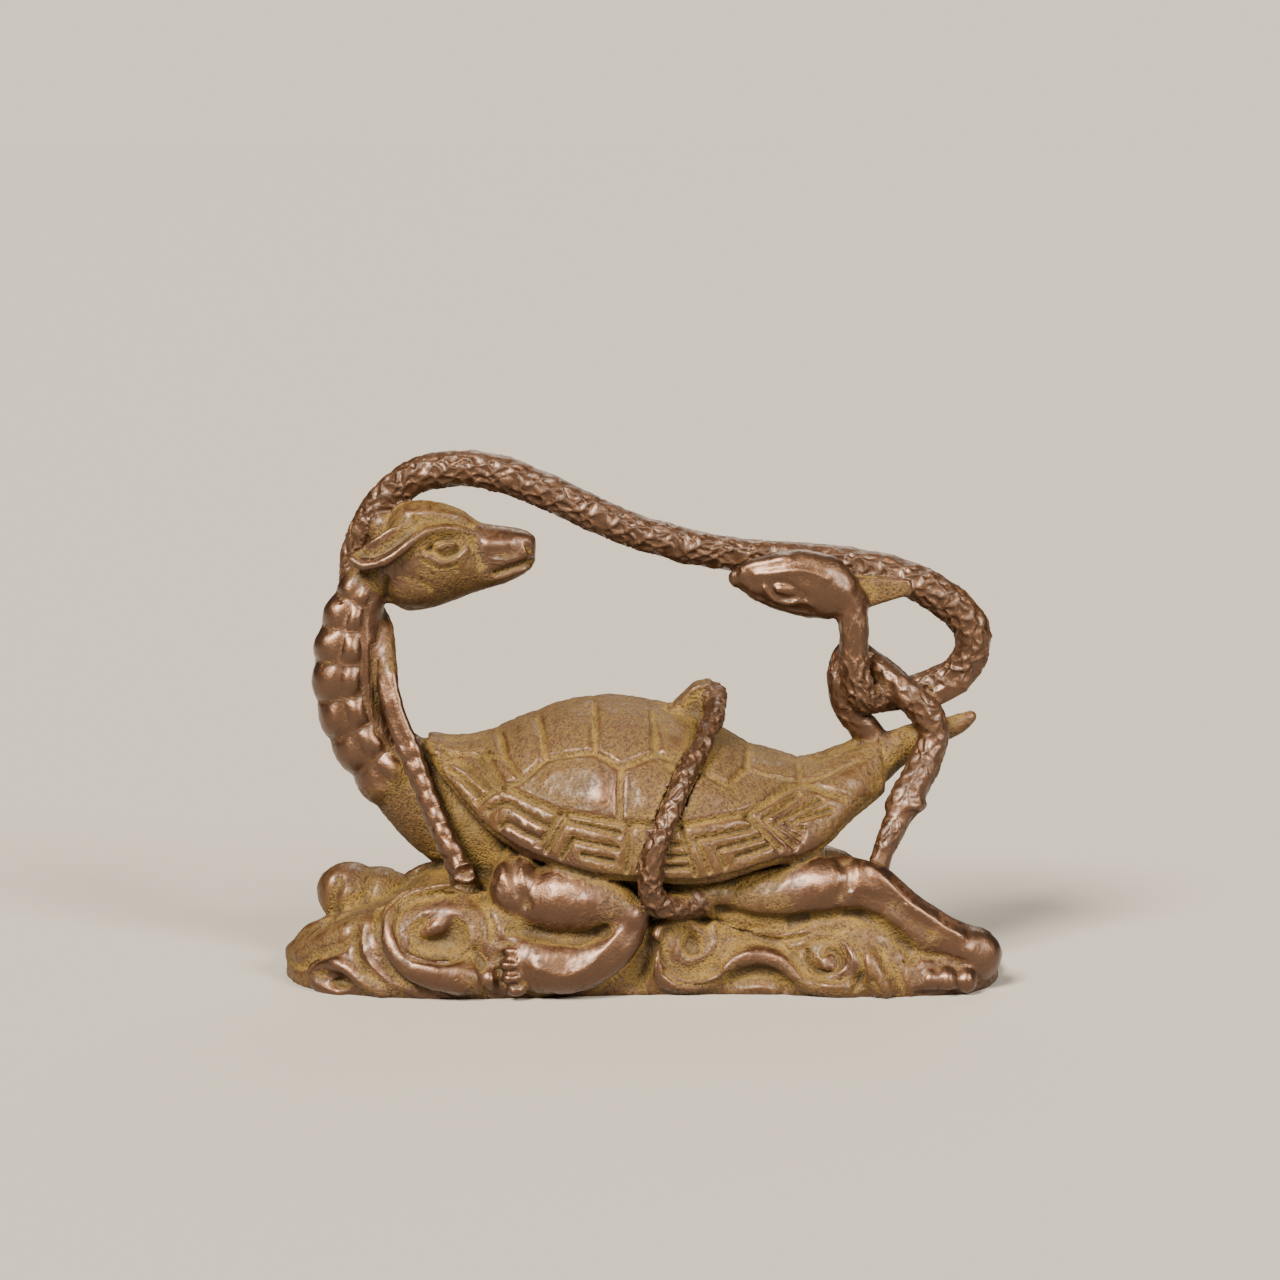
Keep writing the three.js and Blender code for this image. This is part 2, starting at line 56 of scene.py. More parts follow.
# In millimetres: the grain of the skin and of the base, and how far the base reaches below its flat foot
# until that is cut.
VOXEL = 0.3
BASE_VOXEL = 0.45
FOOT = 1.5
TRIANGLES = 188000

# The columns of a table are told where it stands.
Row = tuple[float, ...]
Table = tuple[Row, ...]


class Side(Enum):
    """Which sides of the casting a stroke of the tool is repeated on."""

    NEAR = "near"
    BOTH = "both"


class Cut(Enum):
    """Section that a stroke of the tool leaves."""

    ROUND = "round"
    SHARP = "sharp"


def deselect() -> None:
    """Leaves nothing selected."""
    bpy.ops.object.select_all(action="DESELECT")


def take(piece: bpy.types.Object) -> None:
    """Selects one object and makes it the active one.

    Args:
        piece: The object.
    """
    deselect()
    piece.select_set(True)
    bpy.context.view_layer.objects.active = piece


def apply_modifier(piece: bpy.types.Object, kind: str, **settings: object) -> None:
    """Puts a modifier on an object and applies it.

    Args:
        piece: The object.
        kind: Blender's name for the type of modifier.
        settings: The modifier's own settings.
    """
    take(piece)
    bpy.ops.object.modifier_add(type=kind)
    modifier = piece.modifiers[-1]
    for name, value in settings.items():
        setattr(modifier, name, value)
    bpy.ops.object.modifier_apply(modifier=modifier.name)


def mesh_object(name: str, points: np.ndarray, faces: Sequence[Sequence[int]]) -> bpy.types.Object:
    """Object with a mesh of its own, its faces turned outwards.

    Args:
        name: The object's name.
        points: One row for each vertex, in millimetres.
        faces: The vertices of each face.

    Returns:
        The new object, at the origin.
    """
    mesh = bpy.data.meshes.new(name)
    mesh.from_pydata([tuple(p) for p in points], [], [tuple(f) for f in faces])
    mesh.validate()
    piece = bpy.data.objects.new(name, mesh)
    bpy.context.collection.objects.link(piece)
    take(piece)
    bpy.ops.object.mode_set(mode="EDIT")
    bpy.ops.mesh.select_all(action="SELECT")
    bpy.ops.mesh.normals_make_consistent(inside=False)
    bpy.ops.object.mode_set(mode="OBJECT")
    return piece


def joined(name: str, pieces: Sequence[bpy.types.Object]) -> bpy.types.Object:
    """One object that holds the meshes of several.

    Args:
        name: The name that it gets.
        pieces: The objects, which end up in the first.

    Returns:
        The first object.
    """
    deselect()
    for piece in pieces:
        piece.select_set(True)
    bpy.context.view_layer.objects.active = pieces[0]
    bpy.ops.object.join()
    pieces[0].name = name
    return pieces[0]


def egg(centre: Row, radii: Row) -> bpy.types.Object:
    """Ball or egg about a centre.

    Args:
        centre: Its middle.
        radii: Its half sizes along X, Y and Z.

    Returns:
        The new object.
    """
    deselect()
    bpy.ops.mesh.primitive_ico_sphere_add(subdivisions=4, radius=1, location=(0, 0, 0))
    piece = bpy.context.object
    bpy.ops.transform.resize(value=radii)
    bpy.ops.transform.translate(value=centre)
    bpy.ops.object.transform_apply(location=True, rotation=True, scale=True)
    return piece


def cut_below(height: float, fill: bool) -> None:
    """Cuts away what the active object has below a height.

    Args:
        height: The height in millimetres.
        fill: Whether the cut is closed.
    """
    bpy.ops.object.mode_set(mode="EDIT")
    bpy.ops.mesh.select_all(action="SELECT")
    bpy.ops.mesh.bisect(plane_co=(0, 0, height), plane_no=(0, 0, 1), use_fill=fill, clear_inner=True)
    bpy.ops.object.mode_set(mode="OBJECT")


def loft(name: str, rings: Sequence[np.ndarray]) -> bpy.types.Object:
    """Closed skin over rings of equal length, with a fan over each end.

    Args:
        name: The object's name.
        rings: The points of each ring, in order.

    Returns:
        The new object.
    """
    count = len(rings[0])
    points = np.vstack([*rings, rings[0].mean(axis=0), rings[-1].mean(axis=0)])
    start, end = len(points) - 2, len(points) - 1
    last = (len(rings) - 1) * count
    faces = []
    for row in range(len(rings) - 1):
        for i in range(count):
            a, b = row * count + i, row * count + (i + 1) % count
            faces.append((a, b, b + count, a + count))
    for i in range(count):
        j = (i + 1) % count
        faces.append((start, j, i))
        faces.append((end, last + i, last + j))
    return mesh_object(name, points, faces)


def web(name: str, outline: Table, depth: float, thickness: float) -> bpy.types.Object:
    """Flat plate between two faces.

    Args:
        name: The object's name.
        outline: Corners of [x, z].
        depth: Y of its middle.
        thickness: Its size along Y.

    Returns:
        The new object.
    """
    rings = [np.array([(x, depth + way * thickness / 2, z) for x, z in outline]) for way in (-1, 1)]
    return loft(name, rings)


def flowing(points: np.ndarray, steps: int) -> np.ndarray:
    """Points of a smooth curve through given ones, with no loops between them.

    Args:
        points: The given points, one row each.
        steps: How many steps each span is cut into.

    Returns:
        The curve's points.
    """
    ends = np.vstack([2 * points[0] - points[1], points, 2 * points[-1] - points[-2]])
    reach = np.maximum(np.sum(np.diff(ends, axis=0) ** 2, axis=1) ** 0.25, 1e-4)
    part = (np.arange(steps) / steps)[:, None]
    spans = []
    for i in range(1, len(ends) - 2):
        before, here, after = reach[i - 1 : i + 2]
        a, b, c, d = ends[i - 1 : i + 3]
        leave = ((b - a) / before - (c - a) / (before + here) + (c - b) / here) * here
        arrive = ((c - b) / here - (d - b) / (here + after) + (d - c) / after) * here
        square = -3 * b + 3 * c - 2 * leave - arrive
        cube = 2 * b - 2 * c + leave + arrive
        spans.append(b + leave * part + square * part**2 + cube * part**3)
    return np.vstack([*spans, points[-1:]])


def between(table: Table, x: np.ndarray, column: int) -> np.ndarray:
    """Value of a column of a table of stations at x, smooth over the stations."""
    rows = flowing(np.array(table, dtype=float), 12)
    return np.interp(x, rows[:, 0], rows[:, column])


def eased(low: float, high: float, value: np.ndarray) -> np.ndarray:
    """0 below low, 1 above high and smooth between them; low may be above high."""
    part = np.clip((value - low) / (high - low), 0, 1)
    return part * part * (3 - 2 * part)


def turned_round(path: Table) -> Table:
    """The same path on the far side."""
    return tuple((x, -y, *rest) for x, y, *rest in path)


def shifted(path: Table, dx: float, dz: float) -> Table:
    """The same path moved by x and z."""
    return tuple((x + dx, y, z + dz, *rest) for x, y, z, *rest in path)


class Line:
    """Centre line of a tapered form, with what is needed to find one's way round and along it.

    Args:
        path: Points of [x, y, z, radius].
        side: Width of the form across its normal over its height.
    """

    steps = 10
    cap_turns = (1.35, 1.0, 0.6, 0.3)
    block = 20000
    end_slack = 0.5

    def __init__(self, path: Table, side: float = 1.0) -> None:
        """Works out the smooth centre line, its radii and its frames."""
        points = np.array(path, dtype=float)
        self.side = side
        self.centre = flowing(points[:, :3], self.steps)
        place = np.arange(len(self.centre)) / self.steps
        self.radius = np.interp(place, np.arange(len(points)), points[:, 3])
        self.tangent = np.gradient(self.centre, axis=0)
        self.tangent /= np.linalg.norm(self.tangent, axis=1)[:, None]
        self.arc = np.concatenate([[0], np.cumsum(np.linalg.norm(np.diff(self.centre, axis=0), axis=1))])
        normal = np.array([0.0, 1.0, 0.0])
        normals = []
        for tangent in self.tangent:
            normal = normal - tangent * normal.dot(tangent)
            normal = normal / np.linalg.norm(normal)
            normals.append(normal)
        self.normal = np.array(normals)
        self.up = np.cross(self.tangent, self.normal)

    def form(self, name: str, sides: int = 20) -> bpy.types.Object:
        """Closed tube with round ends.

        Args:
            name: The object's name.
            sides: How many faces it has round it.

        Returns:
            The new object.
        """
        angle = np.linspace(0, 2 * math.pi, sides, endpoint=False)

        def ring(index: int, scale: float, shift: float) -> np.ndarray:
            """Ring at a sample, scaled and moved along the line by parts of the radius.

            Args:
                index: The sample.
                scale: Its size over the form's.
                shift: How far it is moved, over the radius.

            Returns:
                The ring's points.
            """
            reach = self.radius[index]
            middle = self.centre[index] + self.tangent[index] * shift * reach
            across = self.side * reach * scale * np.cos(angle)[:, None] * self.normal[index]
            return middle + across + reach * scale * np.sin(angle)[:, None] * self.up[index]

        caps = [(math.cos(turn), math.sin(turn)) for turn in self.cap_turns]
        rings = [ring(0, scale, -shift) for scale, shift in caps]
        rings += [ring(i, 1, 0) for i in range(len(self.centre))]
        rings += [ring(len(self.centre) - 1, scale, shift) for scale, shift in reversed(caps)]
        return loft(name, rings)

    def near(self, points: np.ndarray, reach: float) -> np.ndarray:
        """Marks the points within reach of the box round the line.

        Args:
            points: One row for each point.
            reach: The reach in millimetres.

        Returns:
            True for each point that is near.
        """
        grow = self.radius.max() * max(self.side, 1) + reach
        low, high = self.centre.min(axis=0) - grow, self.centre.max(axis=0) + grow
        return np.all((points > low) & (points < high), axis=1)

    def places(self, points: np.ndarray) -> tuple[np.ndarray, np.ndarray, np.ndarray, np.ndarray]:
        """Where points lie in the line's own terms.

        Args:
            points: One row for each point.

        Returns:
            Length along the line, angle round it, height over its skin and radius there.
        """
        nearest = np.empty(len(points), dtype=int)
        for start in range(0, len(points), self.block):
            block = points[start : start + self.block]
            away = -2 * block @ self.centre.T + np.sum(self.centre**2, axis=1)
            nearest[start : start + self.block] = np.argmin(away, axis=1)
        offset = points - self.centre[nearest]
        along = np.sum(offset * self.tangent[nearest], axis=1)
        wide = np.sum(offset * self.normal[nearest], axis=1) / self.side
        high = np.sum(offset * self.up[nearest], axis=1)
        rim = np.hypot(wide, high)
        over = np.hypot(rim, np.maximum(np.abs(along) - self.end_slack, 0)) - self.radius[nearest]
        return self.arc[nearest] + along, np.arctan2(high, wide), over, self.radius[nearest]


def gap(points: np.ndarray, path: np.ndarray) -> np.ndarray:
    """Distance from points to a chain of straight lines, in any number of dimensions.

    Args:
        points: One row for each point.
        path: The corners of the chain.

    Returns:
        The distance of each point.
    """
    best = np.full(len(points), 1e9)
    for a, b in zip(path[:-1], path[1:]):
        span = b - a
        part = np.clip((points - a) @ span / max(float(span @ span), 1e-9), 0, 1)
        best = np.minimum(best, np.linalg.norm(points - a - part[:, None] * span, axis=1))
    return best


@dataclass(frozen=True)
class Stroke:
    """One pass of a modelling tool, drawn as [x, z] on the front of the casting.

    Args:
        path: Its points.
        width: Half its width.
        rise: How far it raises the skin, or cuts it where below zero.
        cut: Its section.
        side: Whether the far side has it too.
        depth: Smallest and largest distance from the middle plane that it reaches.
    """

    path: Table
    width: float
    rise: float
    cut: Cut = Cut.ROUND
    side: Side = Side.NEAR
    depth: tuple[float, float] = (2.0, 30.0)

    steps = 6
    roundness = 1.5
    turned_away = 0.35

    def lift(self, points: np.ndarray, normals: np.ndarray) -> tuple[np.ndarray, np.ndarray]:
        """How far the stroke lifts the points that it reaches.

        Args:
            points: The skin's points.
            normals: Its normals.

        Returns:
            Indices of the points reached, and the lift of each.
        """
        drawn = np.array(self.path, dtype=float)
        drawn = flowing(drawn, self.steps) if len(drawn) > 2 else drawn
        low, high = drawn.min(axis=0) - self.width, drawn.max(axis=0) + self.width
        front = -points[:, 1]
        facing = -normals[:, 1]
        if self.side is Side.BOTH:
            facing = facing * np.sign(front)
            front = np.abs(front)
        flat = points[:, [0, 2]]
        reached = np.all((flat > low) & (flat < high), axis=1)
        reached &= (front > self.depth[0]) & (front < self.depth[1]) & (facing > 0)
        index = np.flatnonzero(reached)
        away = gap(flat[index], drawn) / self.width
        if self.cut is Cut.ROUND:
            shape = np.clip(1 - away**2, 0, 1) ** self.roundness
        else:
            shape = np.clip(1 - away, 0, 1)
        return index, self.rise * shape * eased(0.0, self.turned_away, facing[index])


class Grain:
    """Repeatable unevenness of the wax and of the cast skin."""

    summed = 14
    stretch = (0.7, 1.5)

    def __init__(self, seed: int) -> None:
        """Starts from a fixed seed."""
        self.draw = np.random.default_rng(seed)

    def waves(self, points: np.ndarray, length: float) -> np.ndarray:
        """Soft noise between about -1 and 1.

        Args:
            points: Where it is read.
            length: Its wavelength in millimetres.

        Returns:
            The noise at each point.
        """
        total = np.zeros(len(points))
        for _ in range(self.summed):
            way = self.draw.normal(size=3)
            way *= 2 * math.pi / (length * np.linalg.norm(way)) * self.draw.uniform(*self.stretch)
            total += np.sin(points @ way + self.draw.uniform(0, 2 * math.pi))
        return total / math.sqrt(self.summed)


class Skin:
    """Points of the casting while its relief is raised from them."""

    def __init__(self, piece: bpy.types.Object) -> None:
        """Reads the points and normals of an object.

        Args:
            piece: The object.
        """
        count = len(piece.data.vertices)
        self.piece = piece
        self.points = np.empty(count * 3)
        self.normals = np.empty(count * 3)
        piece.data.vertices.foreach_get("co", self.points)
        piece.data.vertex_normals.foreach_get("vector", self.normals)
        self.points = self.points.reshape(-1, 3)
        self.normals = self.normals.reshape(-1, 3)
        self.lift = np.zeros(count)

    def cut(self, strokes: Sequence[Stroke]) -> None:
        """Adds the lift of each stroke.

        Args:
            strokes: The strokes.
        """
        for stroke in strokes:
            index, amount = stroke.lift(self.points, self.normals)
            self.lift[index] += amount

    def press(self) -> None:
        """Moves the points by their lift and writes them back."""
        moved = self.points + self.normals * self.lift[:, None]
        self.piece.data.vertices.foreach_set("co", moved.ravel())
        self.piece.data.update()


@dataclass(frozen=True)
class Carapace:
    """Shell of the tortoise: a dome over stations of [x, half width at the rim, rim height, ridge height]."""

    stations: Table = (
        (-34, 1.5, 35.4, 36), (-32, 6, 34.4, 35.8), (-29.5, 10, 31.9, 35.4), (-25, 14, 27.1, 36),
        (-19.5, 17.5, 23.5, 38.4), (-14.5, 19.5, 21.6, 40.4), (-9.5, 21, 20.3, 41.7),
        (-4.5, 21.8, 19.6, 42.1), (3.5, 22, 19, 40.8), (9.5, 21.7, 18.9, 38.5), (14.5, 20.5, 19.8, 35.6),
        (19.5, 18.8, 21, 33.5), (26, 15, 21.8, 32.5), (31.5, 10.5, 25.9, 34), (37.5, 4, 29.8, 36),
    )
    rim_thickness: float = 1.6
    rim_parts: Row = (0.96, 0.5, 0, -0.5, -0.96)
    arch_points: int = 37
    rows: int = 90
    scute_rise: float = 0.5
    scute_edge: Row = (0.6, 3.2)
    dome_rise: float = 0.35
    seam_edge: Row = (0.12, 0.62)
    lip_rise: float = 0.16
    lip_place: float = 0.95
    lip_width: float = 0.25
    fret_depth: float = 0.75
    fret_edge: Row = (0.22, 0.55)
    border_depth: float = 0.5
    border_edge: Row = (0.2, 0.6)
    border_angle: float = 35
    worn_top: Row = (6, 24)
    worn_lips: Row = (14, 30)
    carved_length: Row = (-33, 36.5)
    carved_reach: Row = (0.5, 1.1)
    degree: float = 0.37
    zigzag: Table = (
        (-31, 38), (-25, 34), (-20.6, 42), (-17.8, 56), (-14.5, 45), (-7, 43), (-3.2, 50), (2.1, 41),
        (8.4, 44), (12.9, 47), (15.8, 32), (24, 34), (33, 38),
    )
    middle_seams: Table = (
        (-20.6, 42, -22.5, 0), (-14.5, 45, -16.5, 0), (-7, 43, -7.6, 0), (2.1, 41, 1.2, 0), (8.4, 44, 9, 0),
        (15.8, 32, 16.5, 0), (24, 34, 24, 0),
    )
    side_seams: Table = (
        (-17.8, 56, -20.7, 61), (-3.2, 50, -3.4, 70),
    )
    border: Table = (
        (-25, 35.4), (-23.1, 34), (-20.9, 31), (-17.8, 29.8), (-12.4, 27.8), (-7.6, 27.3), (-2.3, 26.5),
        (5.1, 26), (10.6, 26.8), (15.6, 27.3), (21.8, 29.8), (24.4, 30.3), (30.7, 28.3),
    )
    frets: tuple[Table, ...] = (
        ((-31.8, 34), (-28.1, 34.7), (-25.4, 34.5), (-23.7, 33.1), (-21.9, 31.2)),
        ((-31.1, 33.4), (-28.1, 33.8), (-26.2, 32.8), (-23.1, 30.6)),
        ((-29.4, 32.6), (-27, 31.5), (-24.7, 29.5)),
        ((-24.5, 28.5), (-22.7, 30), (-20.9, 30.8)),
        ((-22.9, 27.5), (-21.1, 28.6), (-19.5, 28.5), (-16.4, 26.8), (-14, 25.7)),
        ((-21.1, 25.3), (-20.2, 26), (-17.7, 24.7), (-15.5, 23.9)),
        ((-12.4, 27.7), (-13.7, 25.3), (-15.4, 23.1)),
        ((-11.4, 27.2), (-12.6, 25.1), (-14.2, 22.3)),
        ((-10.3, 24.2), (-12, 21.4)),
        ((-10.9, 26.6), (-7.1, 25.9), (-3.4, 25.2)),
        ((-10.2, 24.1), (-3.6, 23)),
        ((-8.9, 21.9), (-4.3, 21.1)),
        ((-1.9, 26.5), (-1.9, 23), (-2.3, 19.7)),
        ((3.8, 23.6), (6.5, 23.4)),
        ((3.5, 21.8), (6.9, 21.8)),
        ((3.3, 20.2), (7.2, 20.2)),
        ((5.9, 25.8), (6.9, 22.6), (7.9, 19.1)),
        ((10, 19.5), (8.1, 24.2), (16.3, 25.4)),
        ((12.4, 20.1), (11.2, 22.7), (18.1, 24.1)),
        ((14.1, 21.5), (19.1, 22.8)),
        ((12.7, 31.6), (14.1, 29.7), (15.6, 27.2), (18.1, 24.9), (20.6, 22.2)),
        ((22.8, 22.3), (18.2, 26.6), (23.5, 29)),
        ((23.7, 23.6), (20.1, 25.9), (26.8, 28.2)),
        ((24.1, 24.6), (21.7, 25.6), (28.4, 26.9)),
    )

    def section(self, x: np.ndarray) -> tuple[np.ndarray, np.ndarray, np.ndarray]:
        """Half width, rim height and ridge height at x."""
        return tuple(between(self.stations, x, column) for column in (1, 2, 3))

    def form(self) -> bpy.types.Object:
        """Plain dome of the shell, down to the underside of its rim.

        Returns:
            The new object.
        """
        angle = np.radians(np.linspace(-90, 90, self.arch_points))
        rings = []
        for x in np.linspace(self.stations[0][0], self.stations[-1][0], self.rows):
            half, low, high = self.section(x)
            across, up = half * np.sin(angle), low + (high - low) * np.cos(angle)
            arch = np.stack([np.full(self.arch_points, x), across, up], axis=1)
            under = np.array([(x, half * part, low - self.rim_thickness) for part in self.rim_parts])
            rings.append(np.vstack([arch, under]))
        return loft("shell", rings)

    def seam_gap(self, flat: np.ndarray) -> np.ndarray:
        """Distance from points to the nearest seam of the dome.

        Args:
            flat: Points of [x, angle from the top], the angle in millimetres.

        Returns:
            The distance of each point.
        """
        seams = [np.array([(x, a * self.degree) for x, a in self.zigzag])]
        for x, a, u, b in (*self.middle_seams, *self.side_seams):
            seams.append(np.array([(x, a * self.degree), (u, b * self.degree)]))
        return np.min([gap(flat, seam) for seam in seams], axis=0)

    def carve(self, skin: Skin) -> None:
        """Raises the scutes and cuts the seams and the frets of the rim, on both sides.

        Args:
            skin: The casting's skin.
        """
        points = skin.points
        half, low, high = self.section(points[:, 0])
        side, up = np.abs(points[:, 1]) / half, (points[:, 2] - low) / np.maximum(high - low, 0.3)
        angle = np.degrees(np.arctan2(side, np.maximum(up, -0.4)))
        over = (np.hypot(side, up) - 1) * half
        inside = (points[:, 0] > self.carved_length[0]) & (points[:, 0] < self.carved_length[1])
        inside &= (np.abs(over) < self.carved_reach[1]) & (up > -0.02) & (skin.normals[:, 2] > -0.45)
        index = np.flatnonzero(inside)
        angle = angle[index]
        held = 1 - eased(*self.carved_reach, np.abs(over[index]))
        away = self.seam_gap(np.stack([points[index, 0], angle * self.degree], axis=1))
        front = points[index][:, [0, 2]]
        edge = np.array(self.border)
        away = np.minimum(away, np.where(angle > self.worn_lips[1], gap(front, edge), 9))
        over_border = front[:, 1] > np.interp(front[:, 0], edge[:, 0], edge[:, 1])
        over_border |= angle < self.border_angle
        kept = eased(*self.worn_top, angle)
        seam = (0.15 + 0.85 * kept) * (1 - eased(*self.seam_edge, away))
        plate = self.scute_rise * (1 - seam) + self.dome_rise * eased(*self.scute_edge, away) * kept
        lip = np.exp(-(((away - self.lip_place) / self.lip_width) ** 2))
        plate += self.lip_rise * lip * eased(*self.worn_lips, angle)
        cuts = np.min([gap(front, np.array(fret)) for fret in self.frets], axis=0)
        fret = self.scute_rise - self.fret_depth * (1 - eased(*self.fret_edge, cuts))
        fret -= self.border_depth * (1 - eased(*self.border_edge, away))
        skin.lift[index] += held * np.where(over_border, plate, fret)


@dataclass(frozen=True)
class Scales:
    """Net of scales on a snake's skin.

    Args:
        columns: How many scales go round.
        pitch: Distance between rows.
        rise: Height of their rims over their hollows.
        length: A scale's length over the pitch.
        width: Half a scale's width over the room it has.
        rim: How far out its rim lies, and how wide that is.
        slope: How much a scale rises from its middle out.
    """

    columns: int
    pitch: float
    rise: float
    length: float = 1.9
    width: float = 0.56
    rim: tuple[float, float] = (0.86, 0.15)
    slope: float = 0.15

    def net(self, along: np.ndarray, round_: np.ndarray) -> np.ndarray:
        """Height of the net, from 0 in a hollow to 1 on a rim.

        Args:
            along: Length along the body.
            round_: Angle round it.

        Returns:
            The height at each place.
        """
        row = np.floor(along / self.pitch)
        turn = round_ / (2 * math.pi) * self.columns

        def reach(rows: np.ndarray) -> np.ndarray:
            """How far out each place is in its row's scale, which ends at 1.

            Args:
                rows: The number of the row for each place.

            Returns:
                How far out it is.
            """
            ahead = (along - rows * self.pitch) / (self.length * self.pitch)
            offset = 0.5 * np.mod(rows, 2)
            aside = turn - offset
            aside = (aside - np.round(aside)) / self.width
            return np.hypot(ahead, aside)

        front, back = reach(row - 1), reach(row)
        own = np.where(front < 1, front, np.minimum(back, 1.2))
        rim = np.exp(-(((own - self.rim[0]) / self.rim[1]) ** 2))
        return np.clip(rim + self.slope * own, 0, 1)


